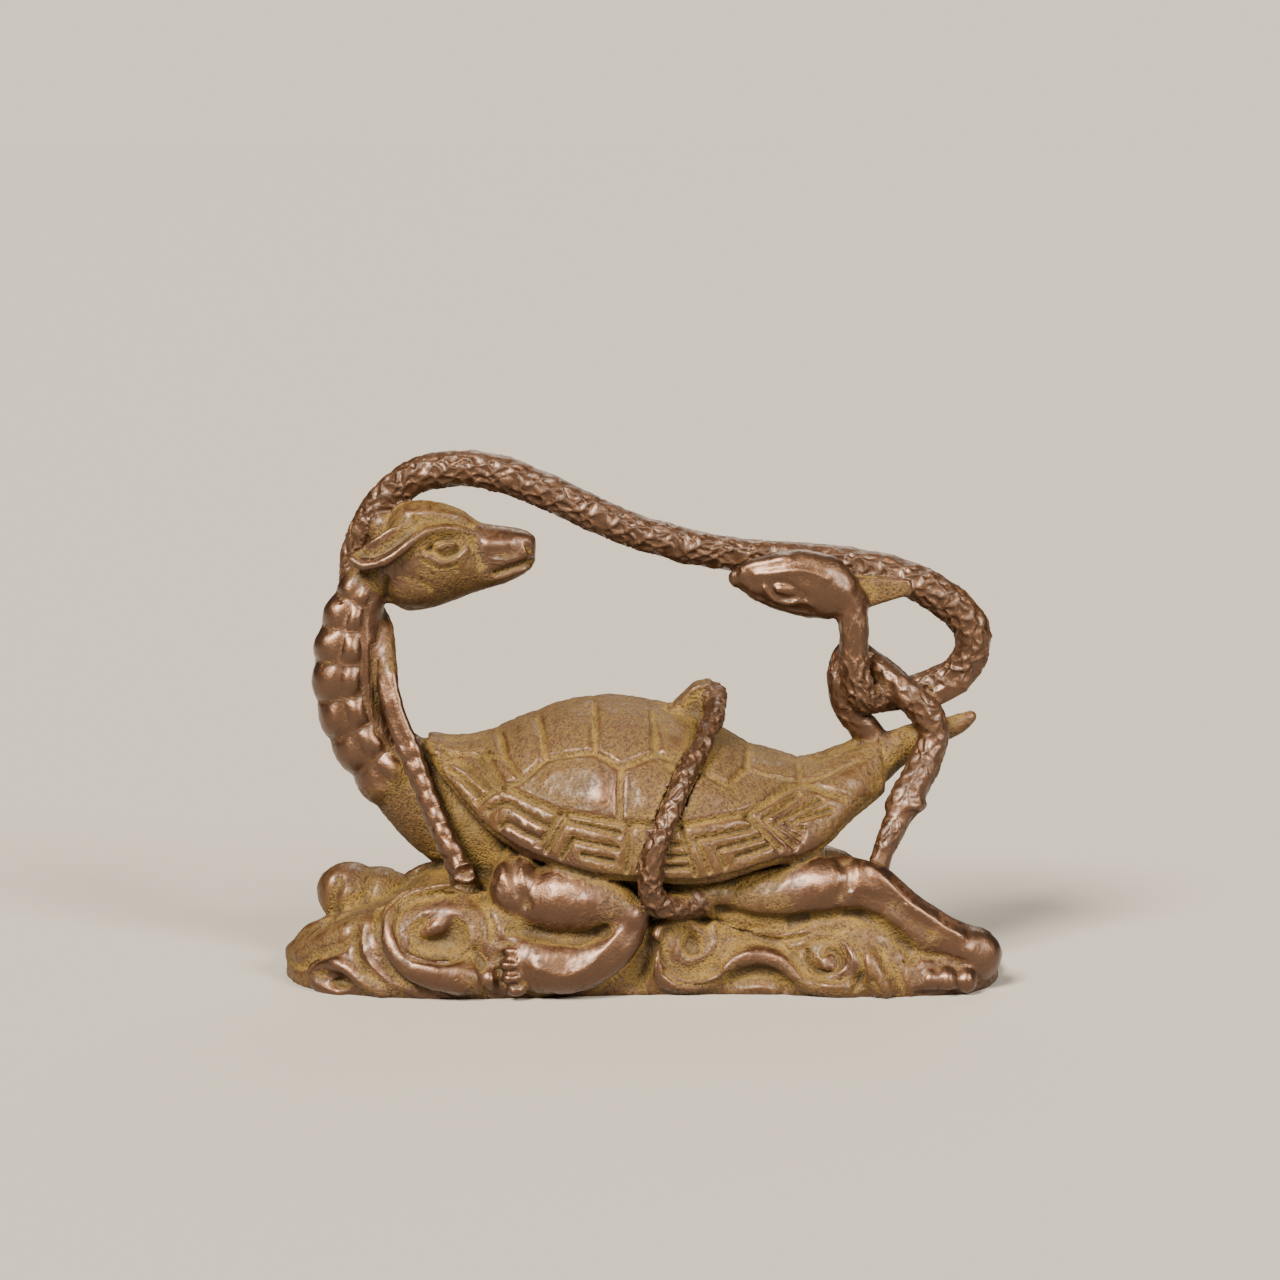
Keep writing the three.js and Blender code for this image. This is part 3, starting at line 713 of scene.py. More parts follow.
@dataclass(frozen=True)
class Snake:
    """Snake whose body arches over the tortoise, knots behind it and crosses its shell and neck."""

    body: Table = (
        (-41.5, 1, 53.5, 2), (-43.5, 3.5, 58, 2.2), (-44.4, 3.5, 62.1, 2.3), (-42.9, 3, 67.7, 2.4),
        (-39.5, 2.5, 72.8, 2.6), (-34.9, 2, 76.4, 2.75), (-29.4, 1.5, 77.7, 2.8), (-22.9, 1, 77.3, 2.8),
        (-15.4, 1, 74.6, 2.7), (-8, 1, 71.1, 2.65), (0, 1, 67.8, 2.6), (8, 1.5, 65.6, 2.6),
        (16, 2, 64.2, 2.6), (24, 2, 63.7, 2.6), (32, 1.5, 63, 2.6), (39.9, 0.5, 61.2, 2.7),
        (46.4, 0, 57.9, 2.8), (50.3, 0, 54, 2.75), (51, 0, 50.4, 2.7), (49.1, 0.5, 46.6, 2.6),
        (44.7, 1, 44.3, 2.4), (40.7, 1, 43, 2.2), (37, -1.5, 42.5, 2.2), (34, -3.8, 43, 2.2),
        (32.8, -4.2, 46, 2.2), (32.4, -4.2, 49.5, 2.2), (32.4, -4, 53.5, 2.3), (31.8, -3.5, 56.9, 2.6),
        (30, -3.5, 59.4, 3),
    )
    head: Table = (
        (32, -3.5, 57.6, 2.8), (30.3, -3.5, 58.6, 4.2), (27.3, -3.5, 60, 5.2), (23.8, -3.5, 60.8, 5.1),
        (19.8, -3.5, 61.1, 4.3), (16.4, -3.5, 61.4, 2.9), (14.5, -3.5, 61.3, 1.5),
    )
    head_side: float = 0.66
    tail: Table = (
        (36.1, 0, 35.2, 2.5), (34.7, -0.3, 37.3, 2.3), (31.9, -0.8, 40.9, 2.3), (30.8, -1, 44.5, 2.2),
        (30.9, -0.5, 48, 2), (32.5, 0.3, 49.7, 1.9), (35, 0.3, 48.1, 2), (37.9, -1.5, 46, 2.2),
        (40.8, -3.5, 43.3, 2.3), (43.7, -3.8, 40.4, 2.5), (44.8, -4, 37.4, 2.4), (43.8, -5, 34, 2.4),
        (42.1, -6.5, 30.8, 2.5), (40.5, -8, 28, 2.7), (39, -9.5, 25.3, 2), (37.7, -11, 22.6, 1.8),
        (36.5, -12, 20.1, 1.6), (35.8, -12.5, 17, 1.6),
    )
    on_neck: Table = (
        (-43, 3.5, 57.5, 2), (-41.7, 3.5, 55.5, 1.9), (-40, 0, 52.5, 1.8), (-39.3, -2.6, 48.8, 1.7),
        (-38.6, -4.6, 44.5, 1.6), (-37.4, -6, 40.3, 1.6), (-36, -7, 36.9, 1.65), (-33.3, -9, 30.2, 1.7),
        (-30.5, -11, 23.6, 1.75), (-28.7, -12.2, 20.3, 1.8), (-26.6, -13, 15, 1.9),
    )
    band: Table = (
        (11, -10, 15.5, 2.2), (9.4, -14, 15, 2.1), (7.8, -17, 13.8, 2), (4.9, -19.5, 13.6, 1.9),
        (2.2, -21, 14.6, 1.9), (1.2, -22.3, 17.8, 1.7), (1.8, -23, 22, 1.5), (2.9, -22.6, 25.3, 1.4),
        (4.3, -21.2, 28.6, 1.4), (5.7, -19.2, 31.6, 1.4), (7.6, -15.8, 35, 1.4), (9.7, -11.3, 38.2, 1.4),
        (11.2, -6, 41.2, 1.5), (11.2, -1, 42.9, 1.7), (10.7, 4, 41.8, 1.6),
    )
    eye: Row = (21.4, -6.6, 59.9)
    eye_far: Row = (21.4, -0.4, 59.9)
    eye_size: Row = (1.3, 0.3, 0.55)
    ledge: tuple[Row, Row] = ((40.3, -8.2, 27.2), (3.3, 3, 1.5))
    plate: Table = ((31.4, 61.5), (34, 56.6), (41.4, 58.8), (41, 61))
    facet: Table = ((42.8, 42.4), (46, 44.4), (50.4, 46), (50.2, 43.6), (45.7, 41.2))
    fin: Table = ((2.6, 39), (5, 41.8), (8, 44.6), (10.4, 45.2), (12.2, 43), (10.6, 38), (8, 36))
    uneven_lengths: Row = (3.2, 4.0, 7.0)
    uneven_along: float = 0.55
    uneven_round: float = 0.2
    scales_reach: Row = (0.35, 0.8)
    worn_back: Row = (0.45, 0.9)
    smooth_neck: Row = (14, 9)
    belly_pitch: float = 2.7
    belly_rise: float = 0.35
    line_rise: float = 0.28
    strokes: tuple[Stroke, ...] = (
        Stroke(
            ((19.4, 60.6), (20.4, 61.1), (21.9, 61), (23.5, 60.1), (23.6, 59), (22.2, 58.6), (20.4, 59.1),
             (19.4, 60.6)),
            0.55, -0.35, side=Side.BOTH, depth=(4, 12),
        ),
        Stroke(
            ((17.4, 62.1), (20.4, 62.5), (24.9, 62.8), (28, 61.6)), 0.8, 0.3, side=Side.BOTH, depth=(3.6, 12),
        ),
        Stroke(
            ((18.6, 60.2), (19.8, 58.6), (22, 57.8), (24.4, 58.2), (25.8, 57.6)),
            0.5, 0.3, side=Side.BOTH, depth=(4, 12),
        ),
        Stroke(((24.4, 59.8), (25, 59), (24.4, 58.4)), 0.45, -0.35, depth=(4, 12)),
        Stroke(((14.6, 60.3), (17, 59), (21, 57.4), (26, 56.4)), 0.4, -0.28, Cut.SHARP, depth=(3.6, 12)),
        Stroke(((15.4, 63), (18, 64), (22, 64.6)), 0.9, 0.3, depth=(3.6, 12)),
        Stroke(((14.9, 61.8), (15.4, 62.2)), 0.5, 0.3, depth=(3, 12)),
        Stroke(
            ((-25.6, 17.6), (-26, 18.7), (-27, 19), (-28, 18.6), (-28.4, 17.6), (-27.9, 16.6), (-26.9, 16.2),
             (-26, 16.6), (-25.6, 17.6)),
            0.45, 0.5, depth=(11, 18),
        ),
        Stroke(((-27.1, 17.6), (-26.8, 17.6)), 0.9, -0.4, depth=(11, 18)),
        Stroke(((3.4, 40.2), (6, 40.8), (9, 42.6)), 2.4, -0.4, depth=(2, 12)),
    )

    def forms(self) -> list[bpy.types.Object]:
        """Plain forms of the snake.

        Returns:
            The new objects.
        """
        lines = {"arch": self.body, "tail": self.tail, "on_neck": self.on_neck, "band": self.band}
        pieces = [Line(path).form(name) for name, path in lines.items()]
        pieces.append(Line(turned_round(self.band)).form("far_band"))
        pieces.append(Line(self.head, self.head_side).form("snake_head", 28))
        pieces += [egg(self.eye, self.eye_size), egg(self.eye_far, self.eye_size)]
        pieces.append(egg(*self.ledge))
        pieces.append(web("plate", self.plate, -1, 4))
        pieces.append(web("facet", self.facet, -0.4, 3.4))
        pieces.append(web("fin", self.fin, -0.6, 5))
        return pieces

    def carve(self, skin: Skin) -> None:
        """Cuts the scales, the features of the head and the belly rings on the neck.

        Args:
            skin: The casting's skin.
        """
        for index, net, rise in self.coats(skin.points, skin.normals):
            skin.lift[index] += rise * (net - 0.4)
        skin.cut(self.strokes)
        self.carve_belly(skin)

    def coats(
        self, points: np.ndarray, normals: np.ndarray
    ) -> list[tuple[np.ndarray, np.ndarray, np.ndarray]]:
        """Net of scales on the arch, the tail and the band.

        Args:
            points: The skin's points.
            normals: Its normals.

        Returns:
            For each form the indices of its points, the height of the net and how far it rises there.
        """
        kinds = (
            (self.body, Scales(8, 1.5, 0.5), 4.0, 2.0),
            (self.tail, Scales(7, 1.5, 0.3), 2.0, 2.0),
            (self.band, Scales(5, 1.3, 0.5), 3.0, 0.0),
            (turned_round(self.band), Scales(5, 1.3, 0.4), 3.0, 0.0),
        )
        grain = Grain(11)
        along_by, round_by, worn = (grain.waves(points, length) for length in self.uneven_lengths)
        found = []
        for path, scales, start, end in kinds:
            line = Line(path)
            index = np.flatnonzero(line.near(points, 1.0))
            along, round_, over, _ = line.places(points[index])
            left = line.arc[-1] - along
            held = 1 - eased(*self.scales_reach, np.abs(over))
            held *= eased(start, start + 3, along) * eased(end, end + 3, left)
            held *= 1 - 0.7 * eased(*self.worn_back, normals[index, 2])
            held *= np.clip(0.8 + 0.3 * worn[index], 0.3, 1)
            if path is self.body:
                held *= 1 - 0.6 * eased(*self.smooth_neck, left)
            along = along + self.uneven_along * along_by[index]
            net = scales.net(along, round_ + self.uneven_round * round_by[index])
            found.append((index, net, held * scales.rise))
        return found

    def carve_belly(self, skin: Skin) -> None:
        """Cuts the belly rings and the side lines of the strand on the neck.

        Args:
            skin: The casting's skin.
        """
        line = Line(self.on_neck)
        index = np.flatnonzero(line.near(skin.points, 1.0))
        along, round_, over, _ = line.places(skin.points[index])
        held = 1 - eased(*self.scales_reach, np.abs(over))
        part = along / line.arc[-1]
        rings = np.abs(np.sin(math.pi * (along + 0.5 * round_) / self.belly_pitch)) ** 0.5 - 0.6
        rings *= self.belly_rise * eased(0.46, 0.54, part)
        lines = np.cos(3 * round_) * self.line_rise * eased(0.25, 0.33, part) * eased(0.75, 0.5, part)
        skin.lift[index] += held * (rings + lines)


@dataclass(frozen=True)
class Tortoise:
    """Tortoise under the shell: neck, head, legs and tail.

    The head's stations are [x, z, half height, half width]. Paths are [x, y, z, radius].
    """

    belly: tuple[Row, Row] = ((1, 0, 17.5), (27.5, 17.5, 14))
    tail: Table = (
        (30, 0, 30, 4.5), (34.2, 0, 31.7, 4.5), (38.2, 0, 33.9, 3.2), (42.2, 0, 35.9, 2.4),
        (46.2, 0.2, 37.2, 1.9), (49.2, 0.4, 38.3, 1.5), (50.8, 0.5, 39.3, 1),
    )
    neck: Table = (
        (-39, 0, 63, 3.6), (-42.2, 0, 60, 3.6), (-44.1, 0, 56, 4.4), (-44.9, 0, 50.4, 5.6),
        (-45, 0, 44.4, 5.8), (-43.6, 0, 38.8, 5.7), (-40.4, 0, 33.7, 5.9), (-35.6, 0, 29, 6.6),
        (-29.4, 0, 24, 7.8), (-21.5, 0, 20.5, 9.6),
    )
    plate_rows: Row = (59.4, 55.6, 51.2, 45.7, 40.6, 36, 31.8)
    plate_columns: tuple[Row, Row] = ((43, 36), (96, 18))
    plate_rise: float = 1.15
    plate_reach: Row = (0.5, 1.2)
    head: Table = (
        (-41.5, 60.5, 3.4, 2.8), (-39.5, 62.1, 5, 4.4), (-36.9, 63.8, 7.9, 5.5), (-32.9, 64.7, 8.3, 6),
        (-28.9, 64.9, 7.3, 5.6), (-24.9, 64.4, 5.3, 4.6), (-20.9, 64.6, 4.3, 3.7), (-17.8, 65.1, 3.2, 3),
        (-16.4, 65.4, 1.8, 1.9),
    )
    ear: Table = (
        (-44, -4.4, 64.8, 0.7), (-41.2, -4.8, 65.7, 1.5), (-38.2, -4.6, 67.1, 2), (-35.2, -4.3, 68.5, 1.8),
        (-33, -4, 69.2, 1),
    )
    head_points: int = 32
    squareness: float = 0.3
    snout_start: Row = (-28, -22)
    skull_lean: float = 0.125
    skull_start: Row = (-26, -34)
    ear_side: float = 0.35
    brow: Table = (
        (-44.2, -5, 64.4, 0.8), (-42, -6.1, 63.8, 1), (-39.4, -6.6, 64.3, 1.05), (-36.8, -6.4, 65.9, 0.95),
        (-34.4, -5.9, 67.8, 0.8), (-31.6, -5.4, 69, 0.75), (-28.4, -4.6, 69.1, 0.7), (-25.6, -3.6, 68.4, 0.5),
    )
    eye: Row = (-29.6, -5.2, 66.5)
    eye_size: Row = (1.8, 0.8, 0.9)
    nostril: Row = (-18.3, -2.5, 65.6)
    nostril_size: Row = (1.2, 1, 1)
    thigh_front: Table = (
        (-12, -8, 20, 6), (-17.8, -12.5, 16.8, 5), (-16.9, -15.4, 13.8, 4.9), (-12.2, -16.6, 14, 6),
        (-5.9, -18, 13.6, 5), (-2.2, -19.3, 12, 3.4),
    )
    shank_front: Table = (
        (-1.8, -19.4, 12.2, 2.8), (-3, -20.8, 9, 3), (-6.5, -21.8, 6, 3.3), (-11, -21.8, 4.6, 3.8),
        (-15, -21.4, 5, 4.2), (-17, -20.6, 5.6, 4.1),
    )
    shank_side: float = 0.8
    toes_front: Table = (
        (-18.9, -20.2, 9.2), (-19.5, -21.8, 7.4), (-19.9, -23, 5.5), (-19.6, -23.4, 3.6), (-18.8, -23.2, 1.7),
    )
    toe_front: Row = (1.6, 1.3, 1.1)
    leg_hind: Table = (
        (9.9, -12, 13.7, 4.6), (19.7, -14, 13.8, 5), (27.5, -15, 15.4, 5), (33.9, -15.5, 15.6, 4.2),
        (38.8, -15.6, 11.6, 4.2), (43.7, -15.6, 8.3, 4.1), (48.6, -15, 5.6, 4.4), (50.4, -14.4, 5, 4.4),
    )
    hind_side: float = 0.9
    toes_hind: Table = (
        (40.8, -18.6, 2.2), (43.3, -19.3, 2.4), (46, -19.4, 2.4), (48.8, -18.6, 2.2),
    )
    toe_hind: Row = (1.8, 2.2, 2.1)
    far_shift: float = -4.0
    foot_web: tuple[Row, Row] = ((-11.5, -16, 8), (9, 5.4, 4))
    nape: tuple[Row, Row] = ((-39.8, 0.8, 68.5), (2.2, 2, 2.8))
    knee: tuple[Row, Row] = ((-18.6, -15.6, 15.3), (4.7, 5.4, 5.5))
    flank: tuple[Row, Row] = ((7, -12.5, 14.5), (10, 6.5, 4))
    haunch: tuple[Row, Row] = ((28, -10.5, 9.4), (16, 7.5, 6.4))
    far_haunch: tuple[Row, Row] = ((25, 10.5, 5.6), (15, 7.5, 6))
    strokes: tuple[Stroke, ...] = (
        Stroke(((-42.4, 65), (-39.6, 66.2), (-37, 68), (-34.4, 69.7)), 1.6, -0.5, side=Side.BOTH),
        Stroke(((-34.6, 70.3), (-31.6, 70.4), (-28.6, 70.1), (-26, 69.2)), 0.8, -0.4, side=Side.BOTH),
        Stroke(((-36, 71.3), (-33, 71.6), (-30, 71.2), (-27, 70.4)), 0.9, 0.25, side=Side.BOTH),
        Stroke(
            ((-32.2, 66.1), (-31.4, 67.1), (-29.6, 67.6), (-28, 67.3), (-27.4, 66.5), (-28.6, 65.3),
             (-30.5, 65), (-32.2, 66.1)),
            0.6, -0.5, side=Side.BOTH,
        ),
        Stroke(((-32.7, 66), (-32.1, 66.3)), 0.9, -0.7, side=Side.BOTH),
        Stroke(((-31.2, 66.2), (-29.8, 66.9), (-28.4, 67)), 0.45, 0.35, side=Side.BOTH),
        Stroke(((-32.6, 65), (-30.8, 64), (-28.4, 64.4), (-26.6, 65.9)), 0.6, 0.35, side=Side.BOTH),
        Stroke(((-33.4, 64.2), (-31.1, 63.1), (-28.3, 63.4)), 0.5, -0.35, Cut.SHARP, Side.BOTH),
        Stroke(((-33.6, 62.9), (-31.2, 61.9), (-28.2, 62.4)), 0.5, -0.25, Cut.SHARP, Side.BOTH),
        Stroke(((-37, 61.8), (-34.6, 61.2), (-32.4, 60)), 0.8, -0.3, side=Side.BOTH),
        Stroke(((-36.2, 59), (-34.6, 58.8)), 2.6, 0.45, side=Side.BOTH),
        Stroke(((-39, 61.2), (-39.3, 59), (-38.7, 56.6)), 0.9, -0.8, side=Side.BOTH),
        Stroke(((-25.8, 67), (-25, 65.4), (-24.6, 63.4)), 1.3, -0.45, side=Side.BOTH),
        Stroke(((-23.4, 66.6), (-20.4, 66.3)), 1.5, 0.35, side=Side.BOTH),
        Stroke(((-17.5, 66.3), (-17.1, 65.4)), 0.55, -0.5, side=Side.BOTH, depth=(1.2, 30)),
        Stroke(((-22.6, 62.2), (-19.9, 63), (-16.4, 63.9)), 0.5, -0.9, Cut.SHARP, Side.BOTH, (0.2, 30)),
        Stroke(((-22.4, 61.3), (-19.6, 62.1), (-16.8, 63)), 0.55, 0.4, side=Side.BOTH, depth=(0.2, 30)),
        Stroke(((-23.2, 64.4), (-20.6, 64.1), (-17.6, 64.9)), 0.6, 0.25, side=Side.BOTH),
        Stroke(((-41.2, 51), (-41, 45), (-40.4, 38.4)), 0.6, -0.4, Cut.SHARP, depth=(1, 30)),
        Stroke(((-21.2, 19), (-21.4, 18.2)), 1.4, 0.35),
        Stroke(((-21.9, 16), (-21.7, 15)), 1.5, 0.4),
        Stroke(((-19.6, 21.2), (-19.3, 18.8), (-18.6, 16.4), (-17.4, 14.2)), 1.3, -0.55, side=Side.BOTH),
        Stroke(((-19.6, 10.3), (-16, 9.9), (-12, 9.2), (-8.5, 9.3), (-5.4, 10.7)), 1.2, -0.6, side=Side.BOTH),
        Stroke(((-21, 8.3), (-19, 8.3)), 0.5, -0.3, side=Side.BOTH),
        Stroke(((-21.8, 6.5), (-19, 6.4)), 0.5, -0.3, side=Side.BOTH),
        Stroke(((-21.8, 4.6), (-18.8, 4.6)), 0.5, -0.3, side=Side.BOTH),
        Stroke(((-21.2, 2.7), (-18.4, 2.7)), 0.5, -0.3, side=Side.BOTH),
        Stroke(
            ((-15.6, 5.2), (-11.5, 4.2), (-8.2, 5.3), (-5.6, 8), (-2.6, 11)), 1.2, 0.35, Cut.SHARP, Side.BOTH,
        ),
        Stroke(((30.6, 20.2), (31, 17.8), (30, 15.2)), 1.5, -0.6),
        Stroke(
            ((34.4, 19.2), (37, 16.9), (39.6, 14.3), (42.9, 12), (45.9, 9.9), (48.1, 8.8)),
            1.3, 0.6, Cut.SHARP,
        ),
        Stroke(((33, 15), (36.6, 14.2), (40, 11.6), (43.4, 9.2)), 1.4, -0.35),
        Stroke(((11.6, 12.6), (16.1, 11.4), (20.8, 11.1), (24.7, 11.6)), 1.3, -0.9),
        Stroke(((39.4, 5), (42.2, 5.9), (45.6, 5.8), (48.4, 4.9)), 0.7, -0.35),
        Stroke(((41.4, 0.4), (46.6, 0.4)), 1, -0.6),
    )

    def head_form(self) -> bpy.types.Object:
        """Plain form of the head, a loft over its stations that grows square to the snout.

        Returns:
            The new object.
        """
        turn = np.linspace(0, 2 * math.pi, self.head_points, endpoint=False)
        rings = []
        for x, z, high, wide in flowing(np.array(self.head), 6):
            power = 1 - self.squareness * eased(*self.snout_start, np.array(x))
            across = np.sign(np.cos(turn)) * np.abs(np.cos(turn)) ** power
            up = np.sign(np.sin(turn)) * np.abs(np.sin(turn)) ** power
            lean = self.skull_lean * high * up * eased(*self.skull_start, np.array(x))
            rings.append(np.stack([x - lean, wide * across, z + high * up], axis=1))
        return loft("head", rings)

    def forms(self) -> list[bpy.types.Object]:
        """Plain forms of the tortoise.

        Returns:
            The new objects.
        """
        pieces = [egg(*self.belly), egg(*self.nape), Line(self.neck).form("neck", 32)]
        pieces += [Line(self.tail).form("tail"), self.head_form()]
        far_leg = shifted(turned_round(self.leg_hind), self.far_shift, self.far_shift)
        pieces.append(Line(self.leg_hind, self.hind_side).form("hind_leg"))
        pieces.append(Line(far_leg, self.hind_side).form("far_hind_leg"))
        pieces += [egg(*self.haunch), egg(*self.far_haunch)]
        far_toes = shifted(turned_round(self.toes_hind), self.far_shift, 0)
        pieces += [egg(place, self.toe_hind) for place in (*self.toes_hind, *far_toes)]
        for turned in (lambda path: path, turned_round):
            pieces.append(Line(turned(self.ear), self.ear_side).form("ear"))
            pieces.append(Line(turned(self.brow)).form("brow", 12))
            pieces.append(Line(turned(self.thigh_front)).form("thigh"))
            pieces.append(Line(turned(self.shank_front), self.shank_side).form("shank"))
            eye, nostril = turned((self.eye, self.nostril))
            pieces += [egg(eye, self.eye_size), egg(nostril, self.nostril_size)]
            pieces += [egg(place, self.toe_front) for place in turned(self.toes_front)]
            for place, size in (self.foot_web, self.knee, self.flank):
                pieces.append(egg(*turned((place,)), size))
        return pieces

    def carve(self, skin: Skin) -> None:
        """Cuts the features and raises the plates of the throat down the outer side of the neck.

        Args:
            skin: The casting's skin.
        """
        skin.cut(self.strokes)
        line = Line(self.neck)
        index = np.flatnonzero(line.near(skin.points, 1.5))
        along, round_, over, _ = line.places(skin.points[index])
        rows = [line.arc[np.argmin(np.abs(line.centre[:, 2] - z))] for z in self.plate_rows]
        rows = np.array([2 * rows[0] - rows[1], *rows, 2 * rows[-1] - rows[-2]])
        place = np.interp(along, rows, np.arange(len(rows)))
        row = np.clip(np.round(place), 1, len(rows) - 2)
        turn = np.abs(np.mod(np.degrees(round_) - 90, 360) - 180)
        (wide, wide_half), (small, small_half) = self.plate_columns
        aside = turn > wide + wide_half
        u = np.where(aside, np.abs(turn - small) / small_half, np.abs(turn - wide) / wide_half)
        v = np.abs(place - row) / 0.5
        pillow = (np.clip(1 - u**2, 0, 1) * np.clip(1 - v**2, 0, 1)) ** 0.9
        pillow = pillow * np.where(aside, 0.8, 1) - 0.3
        held = 1 - eased(*self.plate_reach, np.abs(over))
        held *= eased(small + small_half + 6, small + small_half, turn)
        held *= eased(0.4, 1.6, place) * eased(len(rows) - 1.3, len(rows) - 1.9, place)
        skin.lift[index] += held * self.plate_rise * pillow


